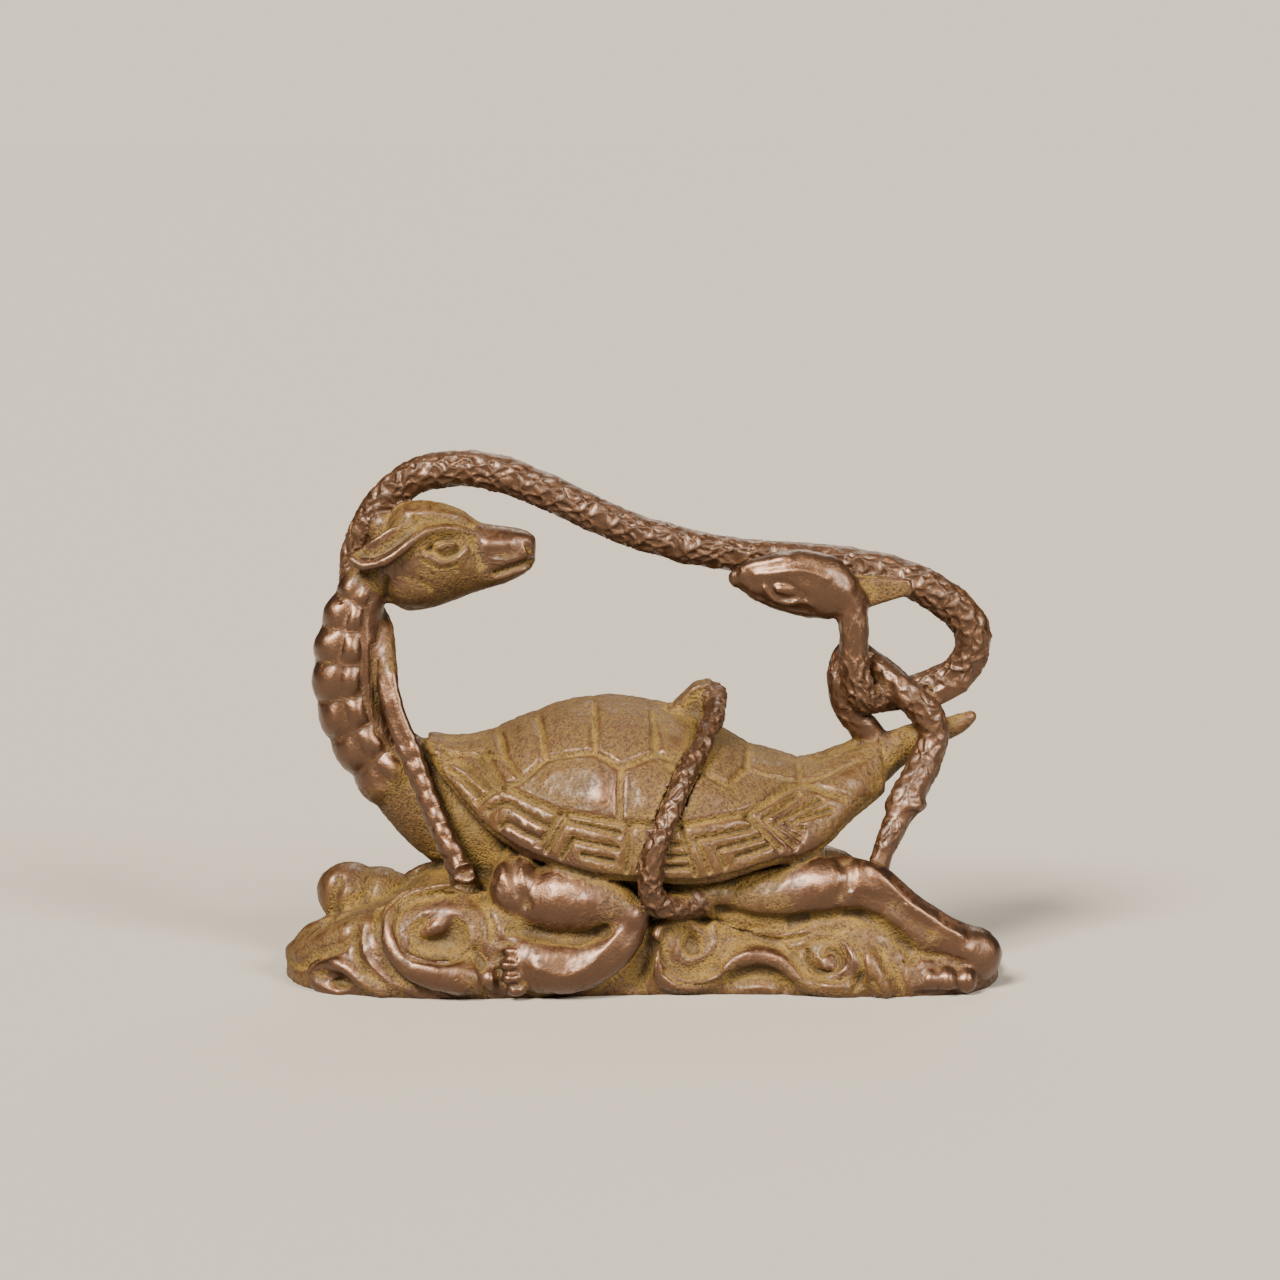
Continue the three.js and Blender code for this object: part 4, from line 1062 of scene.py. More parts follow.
@dataclass(frozen=True)
class CloudBase:
    """Base of scrolled clouds: a mound over stations of [x, half depth, near shoulder height].

    Its profile is [part of the half depth cut off, part of the height]. Scrolls are [x, z, radius] on the
    near flank.
    """

    stations: Table = (
        (-55, 5, 3), (-53, 12, 5), (-48, 17.5, 9), (-40, 21, 12.5), (-30, 22.6, 15.2), (-18, 22, 14),
        (-6, 20.4, 12.5), (6, 19.6, 12), (18, 19.6, 9), (30, 20.8, 9.5), (40, 21, 8), (48, 19.5, 5.5),
        (53, 14, 4), (55, 7, 3),
    )
    profile: Table = (
        (0.03, 0), (0, 0.12), (0.02, 0.4), (0.06, 0.7), (0.14, 0.9), (0.32, 1),
    )
    far_height: float = 0.75
    rows: int = 120
    top_part: float = 0.96
    far_drop: float = -3
    swirl: Table = (
        (-29, 16.4, 0.6), (-32.8, 15.7, 0.8), (-36.2, 14.3, 1), (-38, 12, 1.3), (-38, 9.4, 1.7),
        (-36.7, 6.8, 2.2), (-34, 5, 2.6), (-31, 4, 2.8), (-27.5, 3.5, 2.8), (-24.2, 3.1, 2.4),
    )
    bud: Table = (
        (-32.6, 9.8, 1), (-30.6, 10.7, 1.5), (-28.2, 13.2, 1.1),
    )
    ring: Table = (
        (-39, 0.8, 1), (-42.2, 2.4, 1.1), (-45.2, 4.4, 1.2), (-48.4, 4.2, 1.2), (-49.8, 2.4, 1.2),
        (-48.6, 0.8, 1.2), (-45.6, 0.4, 1.2),
    )
    wave: Table = (
        (8.6, 7.4, 0.7), (8.2, 9.4, 0.8), (6, 10.6, 1), (3.2, 10.2, 1.2), (1.9, 7.6, 1.3), (2.2, 4.2, 1.4),
        (4, 2.2, 1.4), (8, 1.8, 1.3), (11.7, 3, 1.2), (14.6, 4.9, 1.2), (17.8, 5.5, 1.2), (20.8, 4.6, 1.3),
        (23, 2.6, 1.3), (26, 1.5, 1.3), (31.5, 1.1, 1.2),
    )
    spiral: Table = (
        (22.8, 7.2, 0.7), (26.4, 8.9, 1), (30.2, 8.7, 1.1), (31.9, 6.2, 1.1), (30.4, 3.9, 1),
        (27.8, 4.2, 0.9), (27.4, 6, 0.8),
    )
    lobes: Table = (
        (33.6, 8.5, 1.4), (34.2, 5, 2), (36.2, 1.5, 1.8),
    )
    flaps: Table = (
        (-53, -6, 3.4, 2.2), (-49.5, -8, 5.4, 3.6), (-44.5, -8, 6.6, 4),
    )
    recess: Table = (
        (-1.6, -22.6, -2, 2.2), (-0.6, -20.6, 3, 2.1), (1.2, -19.4, 7.6, 1.4),
    )
    knob: tuple[Row, Row] = ((-45.8, 4, 10.9), (5.2, 5.4, 4.8))
    knob_slope: tuple[Row, Row] = ((-41.4, 4, 10.1), (6.2, 5.2, 4.8))
    lobe: tuple[Row, Row] = ((-51, -2, 1.5), (4.2, 7, 4.4))
    bulge: tuple[Row, Row] = ((33.9, -15, 6.4), (6.4, 5, 5))
    saddle: tuple[Row, Row] = ((-28, -3, 10), (9.5, 16, 6.6))
    bowls: tuple[tuple[Row, Row], ...] = (
        ((-30.8, -22.6, 10.2), (5.6, 3.2, 4)),
        ((7.6, -20.8, 8), (2.4, 3.6, 2.9)),
        ((-45.4, -19, 2.2), (2.6, 1.4, 1.3)),
    )
    bud_depth: float = 1.4
    strokes: tuple[Stroke, ...] = (
        Stroke(
            ((-31, 17.4), (-34.6, 16.4), (-37.8, 14.4), (-39.5, 12.4), (-39.9, 10), (-39.5, 7.2), (-38, 4.8),
             (-35.6, 2.9), (-32.6, 1.5), (-29.4, 0.7)),
            0.8, -0.9, Cut.SHARP, Side.BOTH,
        ),
        Stroke(
            ((-36.4, 13.1), (-36.8, 11), (-36, 8.5), (-34.4, 6.9), (-31.8, 6.3), (-28.6, 6.3), (-26, 7)),
            0.6, -0.6, Cut.SHARP, Side.BOTH,
        ),
        Stroke(
            ((-41.4, 11.6), (-41.9, 8.6), (-41.4, 6.2), (-39.2, 3.6), (-36, 1.8), (-33, 0.9)),
            0.9, 0.55, Cut.SHARP, Side.BOTH,
        ),
        Stroke(((-43.4, 9.4), (-43.2, 6.6), (-41.8, 4.2)), 0.8, -0.5, side=Side.BOTH),
        Stroke(((-54, 4.1), (-51.4, 6.5), (-47.8, 8.4), (-42.9, 11.2)), 1.1, 0.5, side=Side.BOTH),
        Stroke(
            ((-53.4, 2.6), (-51.1, 3.4), (-49.2, 5.2), (-45.9, 6.8), (-43.1, 8.8)),
            0.9, -0.7, Cut.SHARP, Side.BOTH,
        ),
        Stroke(((-46.6, 2.4), (-45.4, 3), (-44.4, 2.2)), 0.5, 0.4),
        Stroke(((-47.2, 13.4), (-48.2, 11.4), (-48, 9.2), (-46.8, 8)), 1.1, -0.8, depth=(-10, 12)),
        Stroke(((-45.6, 12.6), (-46.2, 10.6), (-45.2, 8.8)), 0.9, 0.35, depth=(-10, 12)),
        Stroke(((-42, 13.4), (-42.8, 11), (-42, 9.4)), 0.9, -0.45, depth=(-10, 14)),
        Stroke(((-25, 7.4), (-23.6, 4.6), (-23.6, 1.6)), 1.1, -0.9, side=Side.BOTH),
        Stroke(((-27.4, 16), (-24.6, 14.6), (-22.8, 11.6), (-22.4, 9)), 1, -0.6, side=Side.BOTH),
        Stroke(
            ((3.5, 3.8), (5.4, 2.4), (8.9, 1.7), (11.6, 2.3), (13.3, 3.7)), 0.55, -0.6, Cut.SHARP, Side.BOTH,
        ),
        Stroke(((3.6, 9.6), (3.2, 7.2), (4, 5), (6, 3.7), (9, 3.2), (11.4, 4.4)), 1, -0.4, side=Side.BOTH),
        Stroke(((10.2, 12.4), (10.8, 10), (10.8, 7.6), (9.4, 5.9), (7, 5.2)), 0.7, 0.4, side=Side.BOTH),
        Stroke(
            ((12.4, 4), (14, 5.6), (16, 6.4), (18.1, 6.7), (20.2, 6.2), (22, 4.9), (23.4, 3)),
            0.8, 0.5, Cut.SHARP, Side.BOTH,
        ),
        Stroke(((13.6, 2), (16.8, 3), (19.4, 2.8), (21.6, 1.4)), 1.9, -1.2, side=Side.BOTH),
        Stroke(((13.6, 7.4), (17, 8), (20.6, 7.4), (23, 6)), 0.9, -0.4, side=Side.BOTH),
        Stroke(
            ((10.5, 10), (15.2, 9.6), (17.5, 9), (20, 8.7), (22.5, 9), (24.6, 9.4)),
            0.7, 0.6, Cut.SHARP, Side.BOTH,
        ),
        Stroke(
            ((24, 7.6), (25.6, 8.5), (27.9, 8.9), (30.2, 8), (31.7, 6), (31.7, 3.6), (30, 1.9), (27.4, 1.9)),
            0.8, 0.45, side=Side.BOTH,
        ),
        Stroke(
            ((24.9, 6.8), (25.1, 5), (26.4, 3.9), (28.2, 3.8), (29.6, 4.8), (29.6, 6.2), (28.4, 7),
             (27.2, 6.4)),
            0.65, -0.9, side=Side.BOTH,
        ),
        Stroke(((32.8, 6.4), (33, 3.6), (32, 1)), 0.7, -0.6, Cut.SHARP, Side.BOTH),
        Stroke(((34.5, 2.8), (35.2, 1.6), (35.8, 0.3)), 0.6, -0.6, Cut.SHARP, Side.BOTH),
        Stroke(((37.9, 4.6), (38.8, 2.4), (39.8, 0.3)), 0.6, -0.6, Cut.SHARP, Side.BOTH),
        Stroke(
            ((22.3, 10.2), (24.5, 11), (27.8, 12), (31.9, 12.2), (35.9, 11.1), (38.9, 8.7), (41, 5.4)),
            1.2, -0.6,
        ),
    )

    def on_flank(self, path: Table) -> Table:
        """Path laid on the near flank.

        Args:
            path: Points of [x, z, radius].

        Returns:
            Points of [x, y, z, radius].
        """
        insets = np.array([(part, inset) for inset, part in self.profile])
        laid = []
        for x, z, radius in path:
            part = min(z / float(between(self.stations, x, 2)), self.top_part)
            inset = np.interp(part, insets[:, 0], insets[:, 1])
            laid.append((x, -float(between(self.stations, x, 1)) * (1 - inset), z, radius))
        return tuple(laid)

    def mound(self) -> bpy.types.Object:
        """Plain mound, its profile carried along X.

        Returns:
            The new object.
        """
        profile = flowing(np.array(self.profile), 4)
        rings = []
        for x in np.linspace(self.stations[0][0], self.stations[-1][0], self.rows):
            half, height = between(self.stations, x, 1), between(self.stations, x, 2)
            across, up = half * (1 - profile[:, 0]), height * profile[:, 1]
            up[0] = -FOOT
            near = np.stack([np.full(len(profile), x), -across, up], axis=1)
            far = np.stack([np.full(len(profile), x), across, up * self.far_height], axis=1)
            rings.append(np.vstack([near, far[::-1]]))
        return loft("mound", rings)

    def form(self) -> bpy.types.Object:
        """Mound with its scrolls on and its hollows cut.

        Returns:
            The new object.
        """
        lumps = (self.knob, self.knob_slope, self.lobe, self.bulge, self.saddle)
        pieces = [self.mound(), *(egg(*lump) for lump in lumps), Line(self.flaps).form("flap")]
        scrolls = (self.swirl, self.ring, self.wave, self.spiral, self.lobes)
        pieces += [Line(self.on_flank(path)).form("scroll", 16) for path in scrolls]
        far_swirl = shifted(turned_round(self.on_flank(self.swirl)), 0, self.far_drop)
        pieces.append(Line(far_swirl).form("far_swirl", 16))
        base = joined("base", pieces)
        apply_modifier(base, "REMESH", mode="VOXEL", voxel_size=BASE_VOXEL)
        tools = [Line(self.recess).form("recess"), Line(turned_round(self.recess)).form("far_recess")]
        tools += [egg(*bowl) for bowl in self.bowls]
        cutter = joined("cutter", tools)
        apply_modifier(base, "BOOLEAN", operation="DIFFERENCE", object=cutter, solver="EXACT")
        bpy.data.objects.remove(cutter)
        bud = [(x, y + self.bud_depth, z, radius) for x, y, z, radius in self.on_flank(self.bud)]
        return joined("base", [base, Line(tuple(bud)).form("bud", 16)])

    def carve(self, skin: Skin) -> None:
        """Cuts the grooves and raises the lips of the scrolls."""
        skin.cut(self.strokes)


class Wiring:
    """Short way to add shader nodes to a tree and to join them."""

    first_colour, second_colour, mixed_colour = 6, 7, 2
    rough = 0.55

    def __init__(self, tree: bpy.types.NodeTree) -> None:
        """Holds the tree."""
        self.tree = tree

    def put(self, socket: bpy.types.NodeSocket, value: object) -> None:
        """Joins an output to a socket, or sets its value.

        Args:
            socket: The input.
            value: An output or a plain value.
        """
        if isinstance(value, bpy.types.NodeSocket):
            self.tree.links.new(value, socket)
        else:
            socket.default_value = value

    def maths(self, operation: str, first: object, second: object) -> bpy.types.NodeSocket:
        """Sum, difference or product.

        Args:
            operation: Blender's name for it.
            first: The first value.
            second: The second value.

        Returns:
            The output.
        """
        node = self.tree.nodes.new("ShaderNodeMath")
        node.operation = operation
        self.put(node.inputs[0], first)
        self.put(node.inputs[1], second)
        return node.outputs[0]

    def blend(self, part: object, first: object, second: object) -> bpy.types.NodeSocket:
        """Colour between two others.

        Args:
            part: How much there is of the second.
            first: The first colour.
            second: The second colour.

        Returns:
            The output.
        """
        node = self.tree.nodes.new("ShaderNodeMix")
        node.data_type = "RGBA"
        self.put(node.inputs[0], part)
        self.put(node.inputs[self.first_colour], first)
        self.put(node.inputs[self.second_colour], second)
        return node.outputs[self.mixed_colour]

    def step(self, value: object, span: Row, to: Row = (0, 1)) -> bpy.types.NodeSocket:
        """Value brought smoothly from one range to another.

        Args:
            value: The value.
            span: The range that it comes from.
            to: The range that it goes to.

        Returns:
            The output.
        """
        node = self.tree.nodes.new("ShaderNodeMapRange")
        node.interpolation_type = "SMOOTHSTEP"
        for index, setting in enumerate((value, *span, *to)):
            self.put(node.inputs[index], setting)
        return node.outputs[0]

    def noise(self, place: object, scale: float, detail: float) -> bpy.types.NodeSocket:
        """Cloudy noise from 0 to 1.

        Args:
            place: Where it is read.
            scale: Its waves to the metre.
            detail: How many finer layers it has.

        Returns:
            The output.
        """
        node = self.tree.nodes.new("ShaderNodeTexNoise")
        self.put(node.inputs["Vector"], place)
        self.put(node.inputs["Scale"], scale)
        self.put(node.inputs["Detail"], detail)
        self.put(node.inputs["Roughness"], self.rough)
        return node.outputs[0]


@dataclass(frozen=True)
class PatinaAndShade:
    """Colours and gloss of the bronze, from its polished heights to the dust in its hollows, with painted
    shade darkening the most sheltered hollows.
    """

    polished: Row = (0.078, 0.03, 0.008, 1)
    bronze: Row = (0.035, 0.014, 0.005, 1)
    dust: Row = (0.15, 0.09, 0.015, 1)
    moss: Row = (0.09, 0.054, 0.006, 1)
    # dark: colour of the pits, and of the painted shade blended into the most sheltered hollows.
    dark: Row = (0.025, 0.012, 0.003, 1)
    roughness: Row = (0.72, 0.4)
    metal: Row = (0.2, 0.95)
    coat: Row = (0.05, 0.75)
    coat_roughness: float = 0.38
    coat_ior: float = 1.6
    bump_strength: float = 0.7
    bump_depth: float = 0.0007
    blotch: float = 170.0
    blotch_depth: Row = (-0.12, 0.12)
    speckle: float = 2300.0
    speckle_depth: Row = (-0.14, 0.14)
    rubbed_span: Row = (-0.15, 1.1)
    dusty_span: Row = (-0.3, 0.35)
    # Range of the shelter over which the painted shade comes in.
    painted_shade_span: Row = (0.5, 1.0)
    dark_part: Row = (0, 0.7)
    pits_span: Row = (0.47, 0.32)

    def sockets(self, tree: bpy.types.NodeTree) -> None:
        """Gives the group's tree its named inputs and outputs.

        Args:
            tree: The group's tree.
        """
        kinds = {"Place": "Vector", "Polish": "Float", "Hollow": "Float", "Crest": "Float"}
        kinds |= {name: "Color" for name in ("Polished", "Bronze", "Dust", "Moss", "Dark")}
        for name, kind in kinds.items():
            tree.interface.new_socket(name, in_out="INPUT", socket_type="NodeSocket" + kind)
        kinds = {"Color": "Color"} | {name: "Float" for name in ("Roughness", "Metallic", "Coat", "Height")}
        for name, kind in kinds.items():
            tree.interface.new_socket(name, in_out="OUTPUT", socket_type="NodeSocket" + kind)

    def group(self) -> bpy.types.NodeTree:
        """Shader group that turns wear into colour, roughness, metal and height, and darkens the most
        sheltered hollows towards the dark colour as painted shade.

        Returns:
            The group's tree.
        """
        tree = bpy.data.node_groups.new("aged bronze and painted shade", "ShaderNodeTree")
        self.sockets(tree)
        given = tree.nodes.new("NodeGroupInput").outputs
        wires = Wiring(tree)
        blotch = wires.noise(given["Place"], self.blotch, 3)
        speckle = wires.noise(given["Place"], self.speckle, 2)
        spots = wires.step(speckle, (0.3, 0.7), self.speckle_depth)
        uneven = wires.maths("ADD", wires.step(blotch, (0.3, 0.7), self.blotch_depth), spots)
        rubbed = wires.maths("ADD", given["Polish"], wires.maths("MULTIPLY", given["Crest"], 0.5))
        rubbed = wires.maths("SUBTRACT", rubbed, wires.maths("MULTIPLY", given["Hollow"], 0.7))
        rubbed = wires.maths("ADD", rubbed, wires.maths("MULTIPLY", uneven, 0.7))
        rubbed = wires.step(rubbed, self.rubbed_span)
        dusty = wires.maths("SUBTRACT", given["Hollow"], wires.maths("MULTIPLY", given["Polish"], 0.9))
        dusty = wires.step(wires.maths("ADD", dusty, uneven), self.dusty_span)
        dust = wires.blend(wires.step(blotch, (0.35, 0.65)), given["Dust"], given["Moss"])
        colour = wires.blend(dusty, given["Bronze"], dust)
        colour = wires.blend(rubbed, colour, given["Polished"])
        pits = wires.step(speckle, self.pits_span, self.dark_part)
        pits = wires.maths("MULTIPLY", pits, wires.step(rubbed, (0, 1), (1, 0.4)))
        colour = wires.blend(pits, colour, given["Dark"])
        # Painted shade: the most sheltered hollows are darkened towards the dark colour.
        painted_shade = wires.step(given["Hollow"], self.painted_shade_span, self.dark_part)
        out = tree.nodes.new("NodeGroupOutput").inputs
        wires.put(out["Color"], wires.blend(painted_shade, colour, given["Dark"]))
        wires.put(out["Roughness"], wires.step(rubbed, (0, 1), self.roughness))
        wires.put(out["Metallic"], wires.step(rubbed, (0, 1), self.metal))
        wires.put(out["Coat"], wires.step(rubbed, (0.1, 1), self.coat))
        wires.put(out["Height"], wires.maths("MULTIPLY", speckle, wires.step(rubbed, (0, 1), (1, 0.25))))
        return tree

    def material(self) -> bpy.types.Material:
        """Bronze material that reads the wear of the piece it is on, and its shelter, which gives painted
        shade in the most sheltered hollows.

        Returns:
            The new material.
        """
        material = bpy.data.materials.new("aged bronze and painted shade")
        material.use_nodes = True
        tree = material.node_tree
        wires = Wiring(tree)
        shader = tree.nodes["Principled BSDF"]
        aged = tree.nodes.new("ShaderNodeGroup")
        aged.node_tree = self.group()
        wires.put(aged.inputs["Place"], tree.nodes.new("ShaderNodeTexCoord").outputs["Object"])
        for name in WearAndShade.names:
            read = tree.nodes.new("ShaderNodeAttribute")
            read.attribute_name = name
            wires.put(aged.inputs[name.capitalize()], read.outputs["Fac"])
        for name in ("polished", "bronze", "dust", "moss", "dark"):
            wires.put(aged.inputs[name.capitalize()], getattr(self, name))
        wires.put(shader.inputs["Base Color"], aged.outputs["Color"])
        wires.put(shader.inputs["Roughness"], aged.outputs["Roughness"])
        wires.put(shader.inputs["Metallic"], aged.outputs["Metallic"])
        wires.put(shader.inputs["Coat Weight"], aged.outputs["Coat"])
        shader.inputs["Coat Roughness"].default_value = self.coat_roughness
        shader.inputs["Coat IOR"].default_value = self.coat_ior
        bump = tree.nodes.new("ShaderNodeBump")
        bump.inputs["Strength"].default_value = self.bump_strength
        bump.inputs["Distance"].default_value = self.bump_depth
        wires.put(bump.inputs["Height"], aged.outputs["Height"])
        wires.put(shader.inputs["Normal"], bump.outputs["Normal"])
        return material


class WearAndShade:
    """How the skin has aged at each point: polished, sheltered and dusty, or worn at an edge; the shelter
    also sets painted shade in the most sheltered hollows.

    Args:
        piece: The finished mesh, in millimetres.
    """

    names = ("polish", "hollow", "crest")
    shelter_reach = 9.0
    shelter_start = 0.15
    rays = 12
    golden_turn = math.pi * (3 - math.sqrt(5))
    fine, groove, broad = 3, 10, 40

    def __init__(self, piece: bpy.types.Object) -> None:
        """Reads the mesh."""
        self.piece = piece
        mesh = piece.data
        count = len(mesh.vertices)
        self.points, self.normals = np.empty(count * 3), np.empty(count * 3)
        mesh.vertices.foreach_get("co", self.points)
        mesh.vertex_normals.foreach_get("vector", self.normals)
        self.points, self.normals = self.points.reshape(-1, 3), self.normals.reshape(-1, 3)
        edges = np.empty(len(mesh.edges) * 2, dtype=int)
        mesh.edges.foreach_get("vertices", edges)
        self.edges = edges.reshape(-1, 2)
        self.links = np.bincount(self.edges.ravel(), minlength=count)

    def spread(self, values: np.ndarray, times: int) -> np.ndarray:
        """Values evened out over neighbours.

        Args:
            values: One value for each point.
            times: How often.

        Returns:
            The evened values.
        """
        a, b = self.edges.T
        for _ in range(times):
            total = np.bincount(a, values[b], len(self.links)) + np.bincount(b, values[a], len(self.links))
            values = 0.5 * values + 0.5 * total / np.maximum(self.links, 1)
        return values

    def sunk(self, times: int) -> np.ndarray:
        """How far points lie under the skin round them, in millimetres, over a number of neighbours."""
        evened = np.stack([self.spread(self.points[:, axis], times) for axis in range(3)], axis=1)
        return np.sum((evened - self.points) * self.normals, axis=1)

    def shelter(self) -> np.ndarray:
        """Share of the sky that nearby skin hides from each point.

        Returns:
            The share, from 0 in the open to 1.
        """
        corners = [tuple(face.vertices) for face in self.piece.data.polygons]
        tree = BVHTree.FromPolygons([Vector(point) for point in self.points], corners)
        turn = np.arange(self.rays) * self.golden_turn
        high = np.sqrt(1 - (np.arange(self.rays) + 0.5) / self.rays)
        flat = np.sqrt(1 - high**2)
        local = np.stack([flat * np.cos(turn), flat * np.sin(turn), high], axis=1)
        steep = np.abs(self.normals[:, 2:]) > 0.8
        side = np.cross(self.normals, np.where(steep, (1.0, 0, 0), (0, 0, 1.0)))
        side /= np.maximum(np.linalg.norm(side, axis=1), 1e-6)[:, None]
        other = np.cross(self.normals, side)
        start = self.points + self.shelter_start * self.normals
        hidden = np.zeros(len(self.points))
        for x, y, z in local:
            ways = x * side + y * other + z * self.normals
            for index, (origin, way) in enumerate(zip(start, ways)):
                distance = tree.ray_cast(origin, way, self.shelter_reach)[3]
                if distance is not None:
                    hidden[index] += 1 - 0.5 * distance / self.shelter_reach
        return self.spread(hidden / self.rays, 2)

    def rubbed(self, rubs: Table) -> np.ndarray:
        """Polish from the rubbed places, alike on both sides.

        Args:
            rubs: Rows of [x, y, z] on the near side, reach and how bright.

        Returns:
            The polish of each point.
        """
        mirrored = self.points * (1, 0, 1) - np.abs(self.points) * (0, 1, 0)
        dull = np.ones(len(self.points))
        for x, y, z, reach, shine in rubs:
            away = np.linalg.norm(mirrored - np.array((x, y, z)), axis=1) / reach
            dull *= 1 - shine * np.clip(1.2 - away, 0, 1) ** 0.8
        return 1 - dull

    def paint(self, rubs: Table, lines: Sequence[tuple[Line, float, float]], snake: Snake) -> None:
        """Writes the wear to the mesh, with the shelter that places the dust and the painted shade.

        Args:
            rubs: The rubbed places.
            lines: Centre lines whose forms are rubbed, with how bright and how far outside the skin.
            snake: The snake, whose scale rims get the pale dust colour, which also serves as a painted
                highlight along the raised rims.
        """
        polish = self.rubbed(rubs)
        for line, shine, reach in lines:
            index = np.flatnonzero(line.near(self.points, reach))
            over = line.places(self.points[index])[2]
            polish[index] = np.maximum(polish[index], shine * (1 - eased(0.3, reach, np.abs(over))))
        fine, groove, broad = (self.sunk(times) for times in (self.fine, self.groove, self.broad))
        # hollow places the dust in the hollows and, where it is highest, the painted shade that the material
        # blends in.
        hollow = self.shelter() + 2 * np.clip(groove, 0, 1) + 0.35 * np.clip(broad, -0.3, 1)
        crest = np.clip(-fine * 12, 0, 1)
        # Scale rims get little polish and so the pale dust colour, partly a painted highlight along the
        # raised rims; the cells stay polished.
        for index, net, rise in snake.coats(self.points, self.normals):
            scaled = np.clip(rise / 0.3, 0, 1)
            hollow[index] = hollow[index] * (1 - 0.7 * scaled)
            polish[index] = polish[index] * (1 - scaled) + scaled * (0.8 - 0.55 * net)
            crest[index] *= 1 - 0.9 * scaled
        for name, values in zip(self.names, (polish, hollow, crest)):
            attribute = self.piece.data.attributes.new(name, "FLOAT", "POINT")
            attribute.data.foreach_set("value", np.clip(values, 0, 1).astype(np.float32))


class Casting:
    """The whole casting, from its plain forms to its finish.

    Rubbed places are [x, y, z] on the near side, reach and how bright.
    """

    name = "bronze_casting"
    rubs: Table = (
        (-17, -20, 17, 5.5, 0.9), (-12, -21, 15, 6, 0.6), (-1, -21, 10, 4, 0.9), (-5, -24, 6, 4, 0.9),
        (-12, -25, 4, 5, 0.8), (-20, -23, 5, 4.5, 0.9), (-38, -21, 7, 4, 0.8), (-31, -23, 3, 4.5, 0.7),
        (-46, -18, 3, 4.5, 0.6), (-30, -19, 11, 3, 0.7), (-48, 0, 13, 3.5, 0.1), (-39, -7.4, 64.6, 4.6, 0.85),
        (-21, -3, 67, 5, 0.5), (24, -5, 61, 9, 1.0), (47, -2, 43.4, 2.6, 1.0), (18, -4, 62, 5, 1.0),
        (32, -6, 50, 6, 0.8), (27, -18.5, 18, 5.5, 0.75), (35, -18, 16.5, 4.5, 0.9), (42, -18, 12.5, 4, 0.7),
        (50, -16, 6, 6, 0.9), (45, -20, 3, 5, 0.55), (-18, -19, 24, 3.5, 0.6), (22, -17.5, 24, 4, 0.5),
        (-5.4, -18.6, 30.6, 3.6, 0.45), (18, -19, 5.5, 4, 0.5), (30, -20, 5, 3, 0.4), (3, -20, 5, 4, 0.35),
    )
    swell = 0.07
    swell_length = 4.5
    ripple = 0.035
    ripple_length = 1.4

    def __init__(self) -> None:
        """Holds the parts that the casting is modelled from."""
        self.shell = Carapace()
        self.snake = Snake()
        self.tortoise = Tortoise()
        self.base = CloudBase()
        self.grain = Grain(7)

    def block_out(self) -> bpy.types.Object:
        """Plain forms run together into one skin, open below the foot.

        Returns:
            The new object.
        """
        pieces = [self.base.form(), self.shell.form(), *self.tortoise.forms(), *self.snake.forms()]
        piece = joined(self.name, pieces)
        apply_modifier(piece, "REMESH", mode="VOXEL", voxel_size=VOXEL)
        apply_modifier(piece, "SMOOTH", factor=0.5, iterations=6)
        log.info("run together: %d points", len(piece.data.vertices))
        cut_below(-FOOT / 2, False)
        return piece

    def carve(self, piece: bpy.types.Object) -> None:
        """Raises all the relief on the skin and cuts it flat at the foot.

        Args:
            piece: The skin's object.
        """
        skin = Skin(piece)
        for part in (self.shell, self.tortoise, self.snake, self.base):
            part.carve(skin)
        uneven = self.swell * self.grain.waves(skin.points, self.swell_length)
        skin.lift += uneven + self.ripple * self.grain.waves(skin.points, self.ripple_length)
        skin.press()
        apply_modifier(piece, "SMOOTH", factor=0.35, iterations=1)
        faces = sum(len(face.vertices) - 2 for face in piece.data.polygons)
        apply_modifier(piece, "DECIMATE", ratio=min(1.0, TRIANGLES / faces))
        cut_below(0, True)
        apply_modifier(piece, "TRIANGULATE")
        log.info("carved: %d triangles of %d", len(piece.data.polygons), faces)

    def rubbed_lines(self) -> tuple[tuple[Line, float, float], ...]:
        """Forms that are bright all along.

        Returns:
            For each its centre line, how bright it is and how far outside its skin.
        """
        return (
            (Line(self.snake.body), 0.5, 0.8),
            (Line(self.snake.tail), 0.55, 0.8),
            (Line(self.snake.band[4:13]), 0.75, 0.8),
            (Line(self.snake.on_neck[4:]), 0.85, 0.8),
            (Line(self.tortoise.neck[2:7]), 0.68, 1.4),
        )

    def model(self) -> bpy.types.Object:
        """Makes the finished mesh.

        Returns:
            The object, in metres.
        """
        piece = self.block_out()
        self.carve(piece)
        WearAndShade(piece).paint(self.rubs, self.rubbed_lines(), self.snake)
        piece.data.materials.clear()
        piece.data.materials.append(PatinaAndShade().material())
        take(piece)
        bpy.ops.object.shade_smooth()
        points = np.empty(len(piece.data.vertices) * 3)
        piece.data.vertices.foreach_get("co", points)
        piece.data.vertices.foreach_set("co", points * METRES)
        piece.data.update()
        return piece


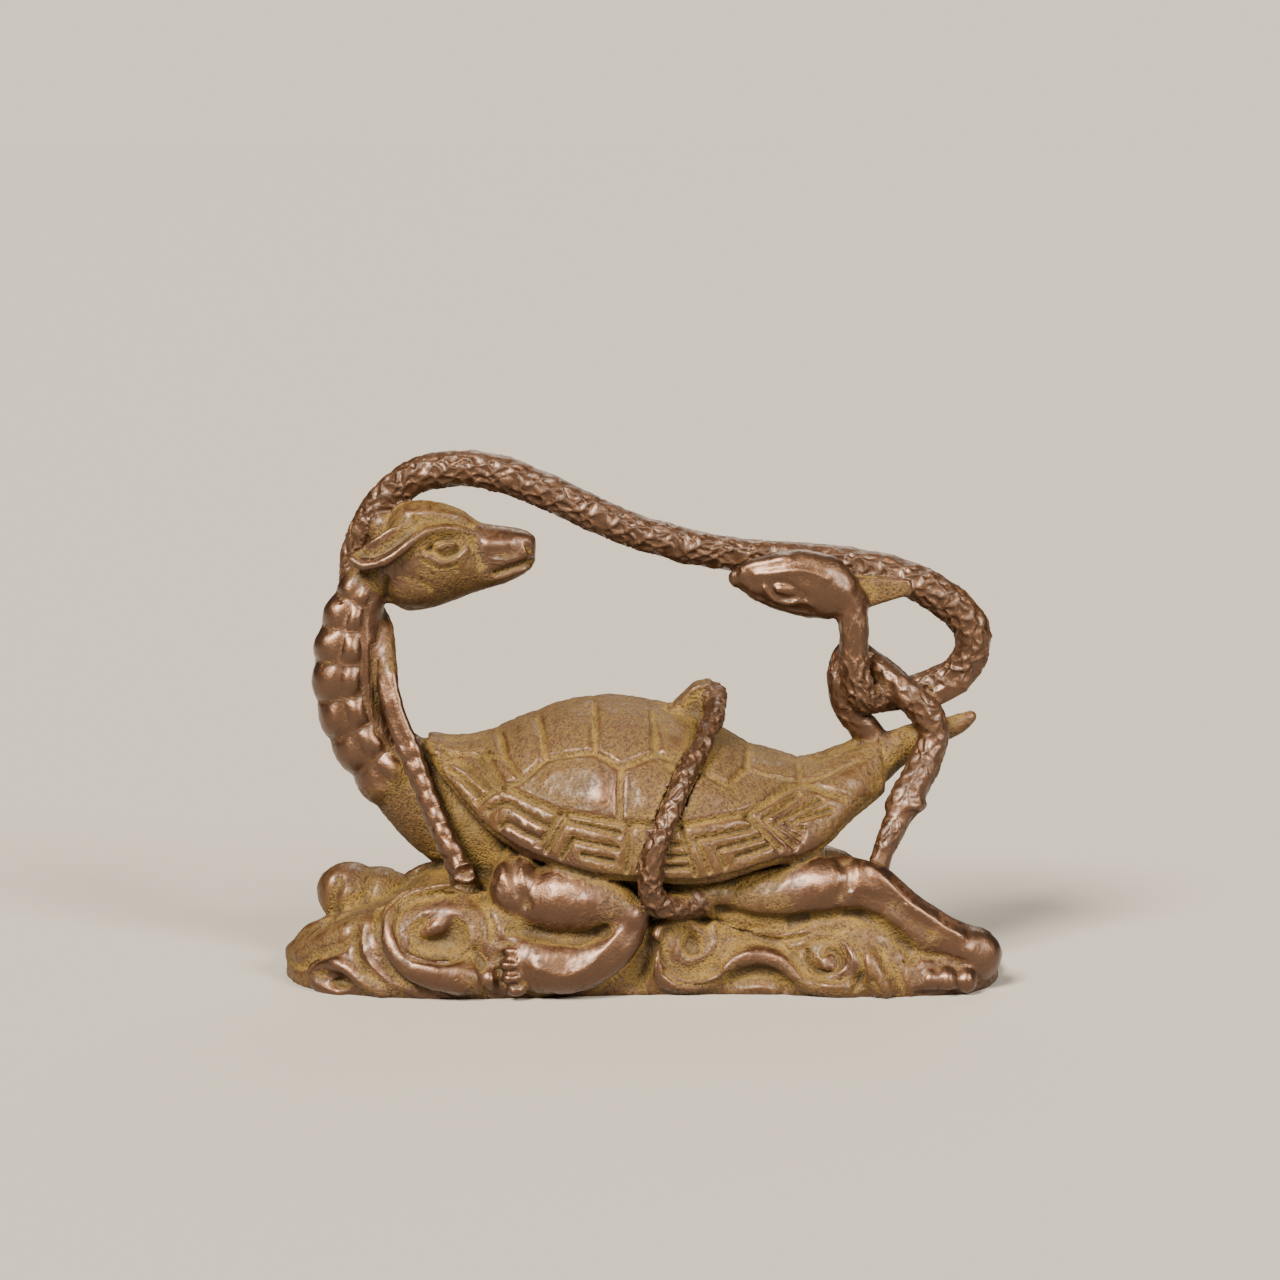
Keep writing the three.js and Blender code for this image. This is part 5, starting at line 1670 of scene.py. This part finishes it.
@dataclass(frozen=True)
class Studio:
    """Pale floor, soft lights and the camera, in metres.

    The lamps are a key from the upper left, a weaker fill from the right and a light behind.
    """

    distance: float = 0.56
    elevation: float = 8.0
    aim: Row = (-0.0003, 0, 0.05134)
    lens: float = 102.2
    sensor: float = 36.0
    clip: Row = (0.01, 100)
    floor_size: float = 60.0
    floor_colour: Row = (0.3, 0.29, 0.275, 1)
    floor_roughness: float = 0.85
    sky: Row = (0.04, 0.04, 0.04, 1)
    far_floor: Row = (1.224, 1.042, 0.808, 1)
    lamps: tuple[tuple[str, Row, float, float, Row], ...] = (
        ("key", (-0.3, -0.5, 0.6), 20, 12.5, (1.0, 0.87, 0.7)),
        ("fill", (0.5, -0.5, 0.5), 20, 5.5, (1.0, 0.88, 0.73)),
        ("back", (0.1, 0.6, 0.6), 32, 1.2, (1.0, 0.87, 0.72)),
    )

    def camera(self) -> None:
        """Camera at the viewing angle of the front."""
        angle = math.radians(self.elevation)
        back = Vector((0, -math.cos(angle), math.sin(angle)))
        data = bpy.data.cameras.new("camera")
        data.lens = self.lens
        data.sensor_width = self.sensor
        data.clip_start, data.clip_end = self.clip
        camera = bpy.data.objects.new("camera", data)
        camera.location = Vector(self.aim) + back * self.distance
        camera.rotation_euler = (math.pi / 2 - angle, 0, 0)
        bpy.context.collection.objects.link(camera)
        bpy.context.scene.camera = camera

    def floor(self) -> None:
        """Plain pale floor."""
        deselect()
        bpy.ops.mesh.primitive_plane_add(size=self.floor_size, location=(0, 0, 0))
        floor = bpy.context.object
        floor.name = "floor"
        material = bpy.data.materials.new("floor")
        material.use_nodes = True
        shader = material.node_tree.nodes["Principled BSDF"]
        shader.inputs["Base Color"].default_value = self.floor_colour
        shader.inputs["Roughness"].default_value = self.floor_roughness
        floor.data.materials.append(material)

    def light(self, name: str, place: Row, width: float, strength: float, colour: Row) -> None:
        """Soft light from far away that looks at the middle of the casting.

        Args:
            name: Its name.
            place: A place on the line that its rays follow.
            width: How wide it looks, in degrees.
            strength: Its strength in watts to the square metre.
            colour: Its colour.
        """
        data = bpy.data.lights.new(name, "SUN")
        data.angle = math.radians(width)
        data.energy = strength
        data.color = colour
        lamp = bpy.data.objects.new(name, data)
        lamp.location = place
        lamp.rotation_euler = (Vector(self.aim) - Vector(place)).to_track_quat("-Z", "Y").to_euler()
        bpy.context.collection.objects.link(lamp)

    def backdrop(self) -> None:
        """Sky that lights the casting dimly and looks like the far floor."""
        world = bpy.data.worlds.new("sky")
        world.use_nodes = True
        wires = Wiring(world.node_tree)
        seen = world.node_tree.nodes.new("ShaderNodeLightPath").outputs["Is Camera Ray"]
        back = world.node_tree.nodes["Background"]
        wires.put(back.inputs["Color"], wires.blend(seen, self.sky, self.far_floor))
        bpy.context.scene.world = world

    def set_up(self) -> None:
        """Makes all of it."""
        self.camera()
        self.floor()
        for lamp in self.lamps:
            self.light(*lamp)
        self.backdrop()


def main() -> None:
    """Builds the casting and the studio round it."""
    logging.basicConfig(level=logging.INFO, format="%(relativeCreated)6d ms %(name)s: %(message)s")
    deselect()
    Studio().set_up()
    piece = Casting().model()
    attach(piece, BODY)
    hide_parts(CAD_NODE)
    log.info("%s stands for %s", piece.name, CAD_NODE)


if __name__ == "__main__":
    main()
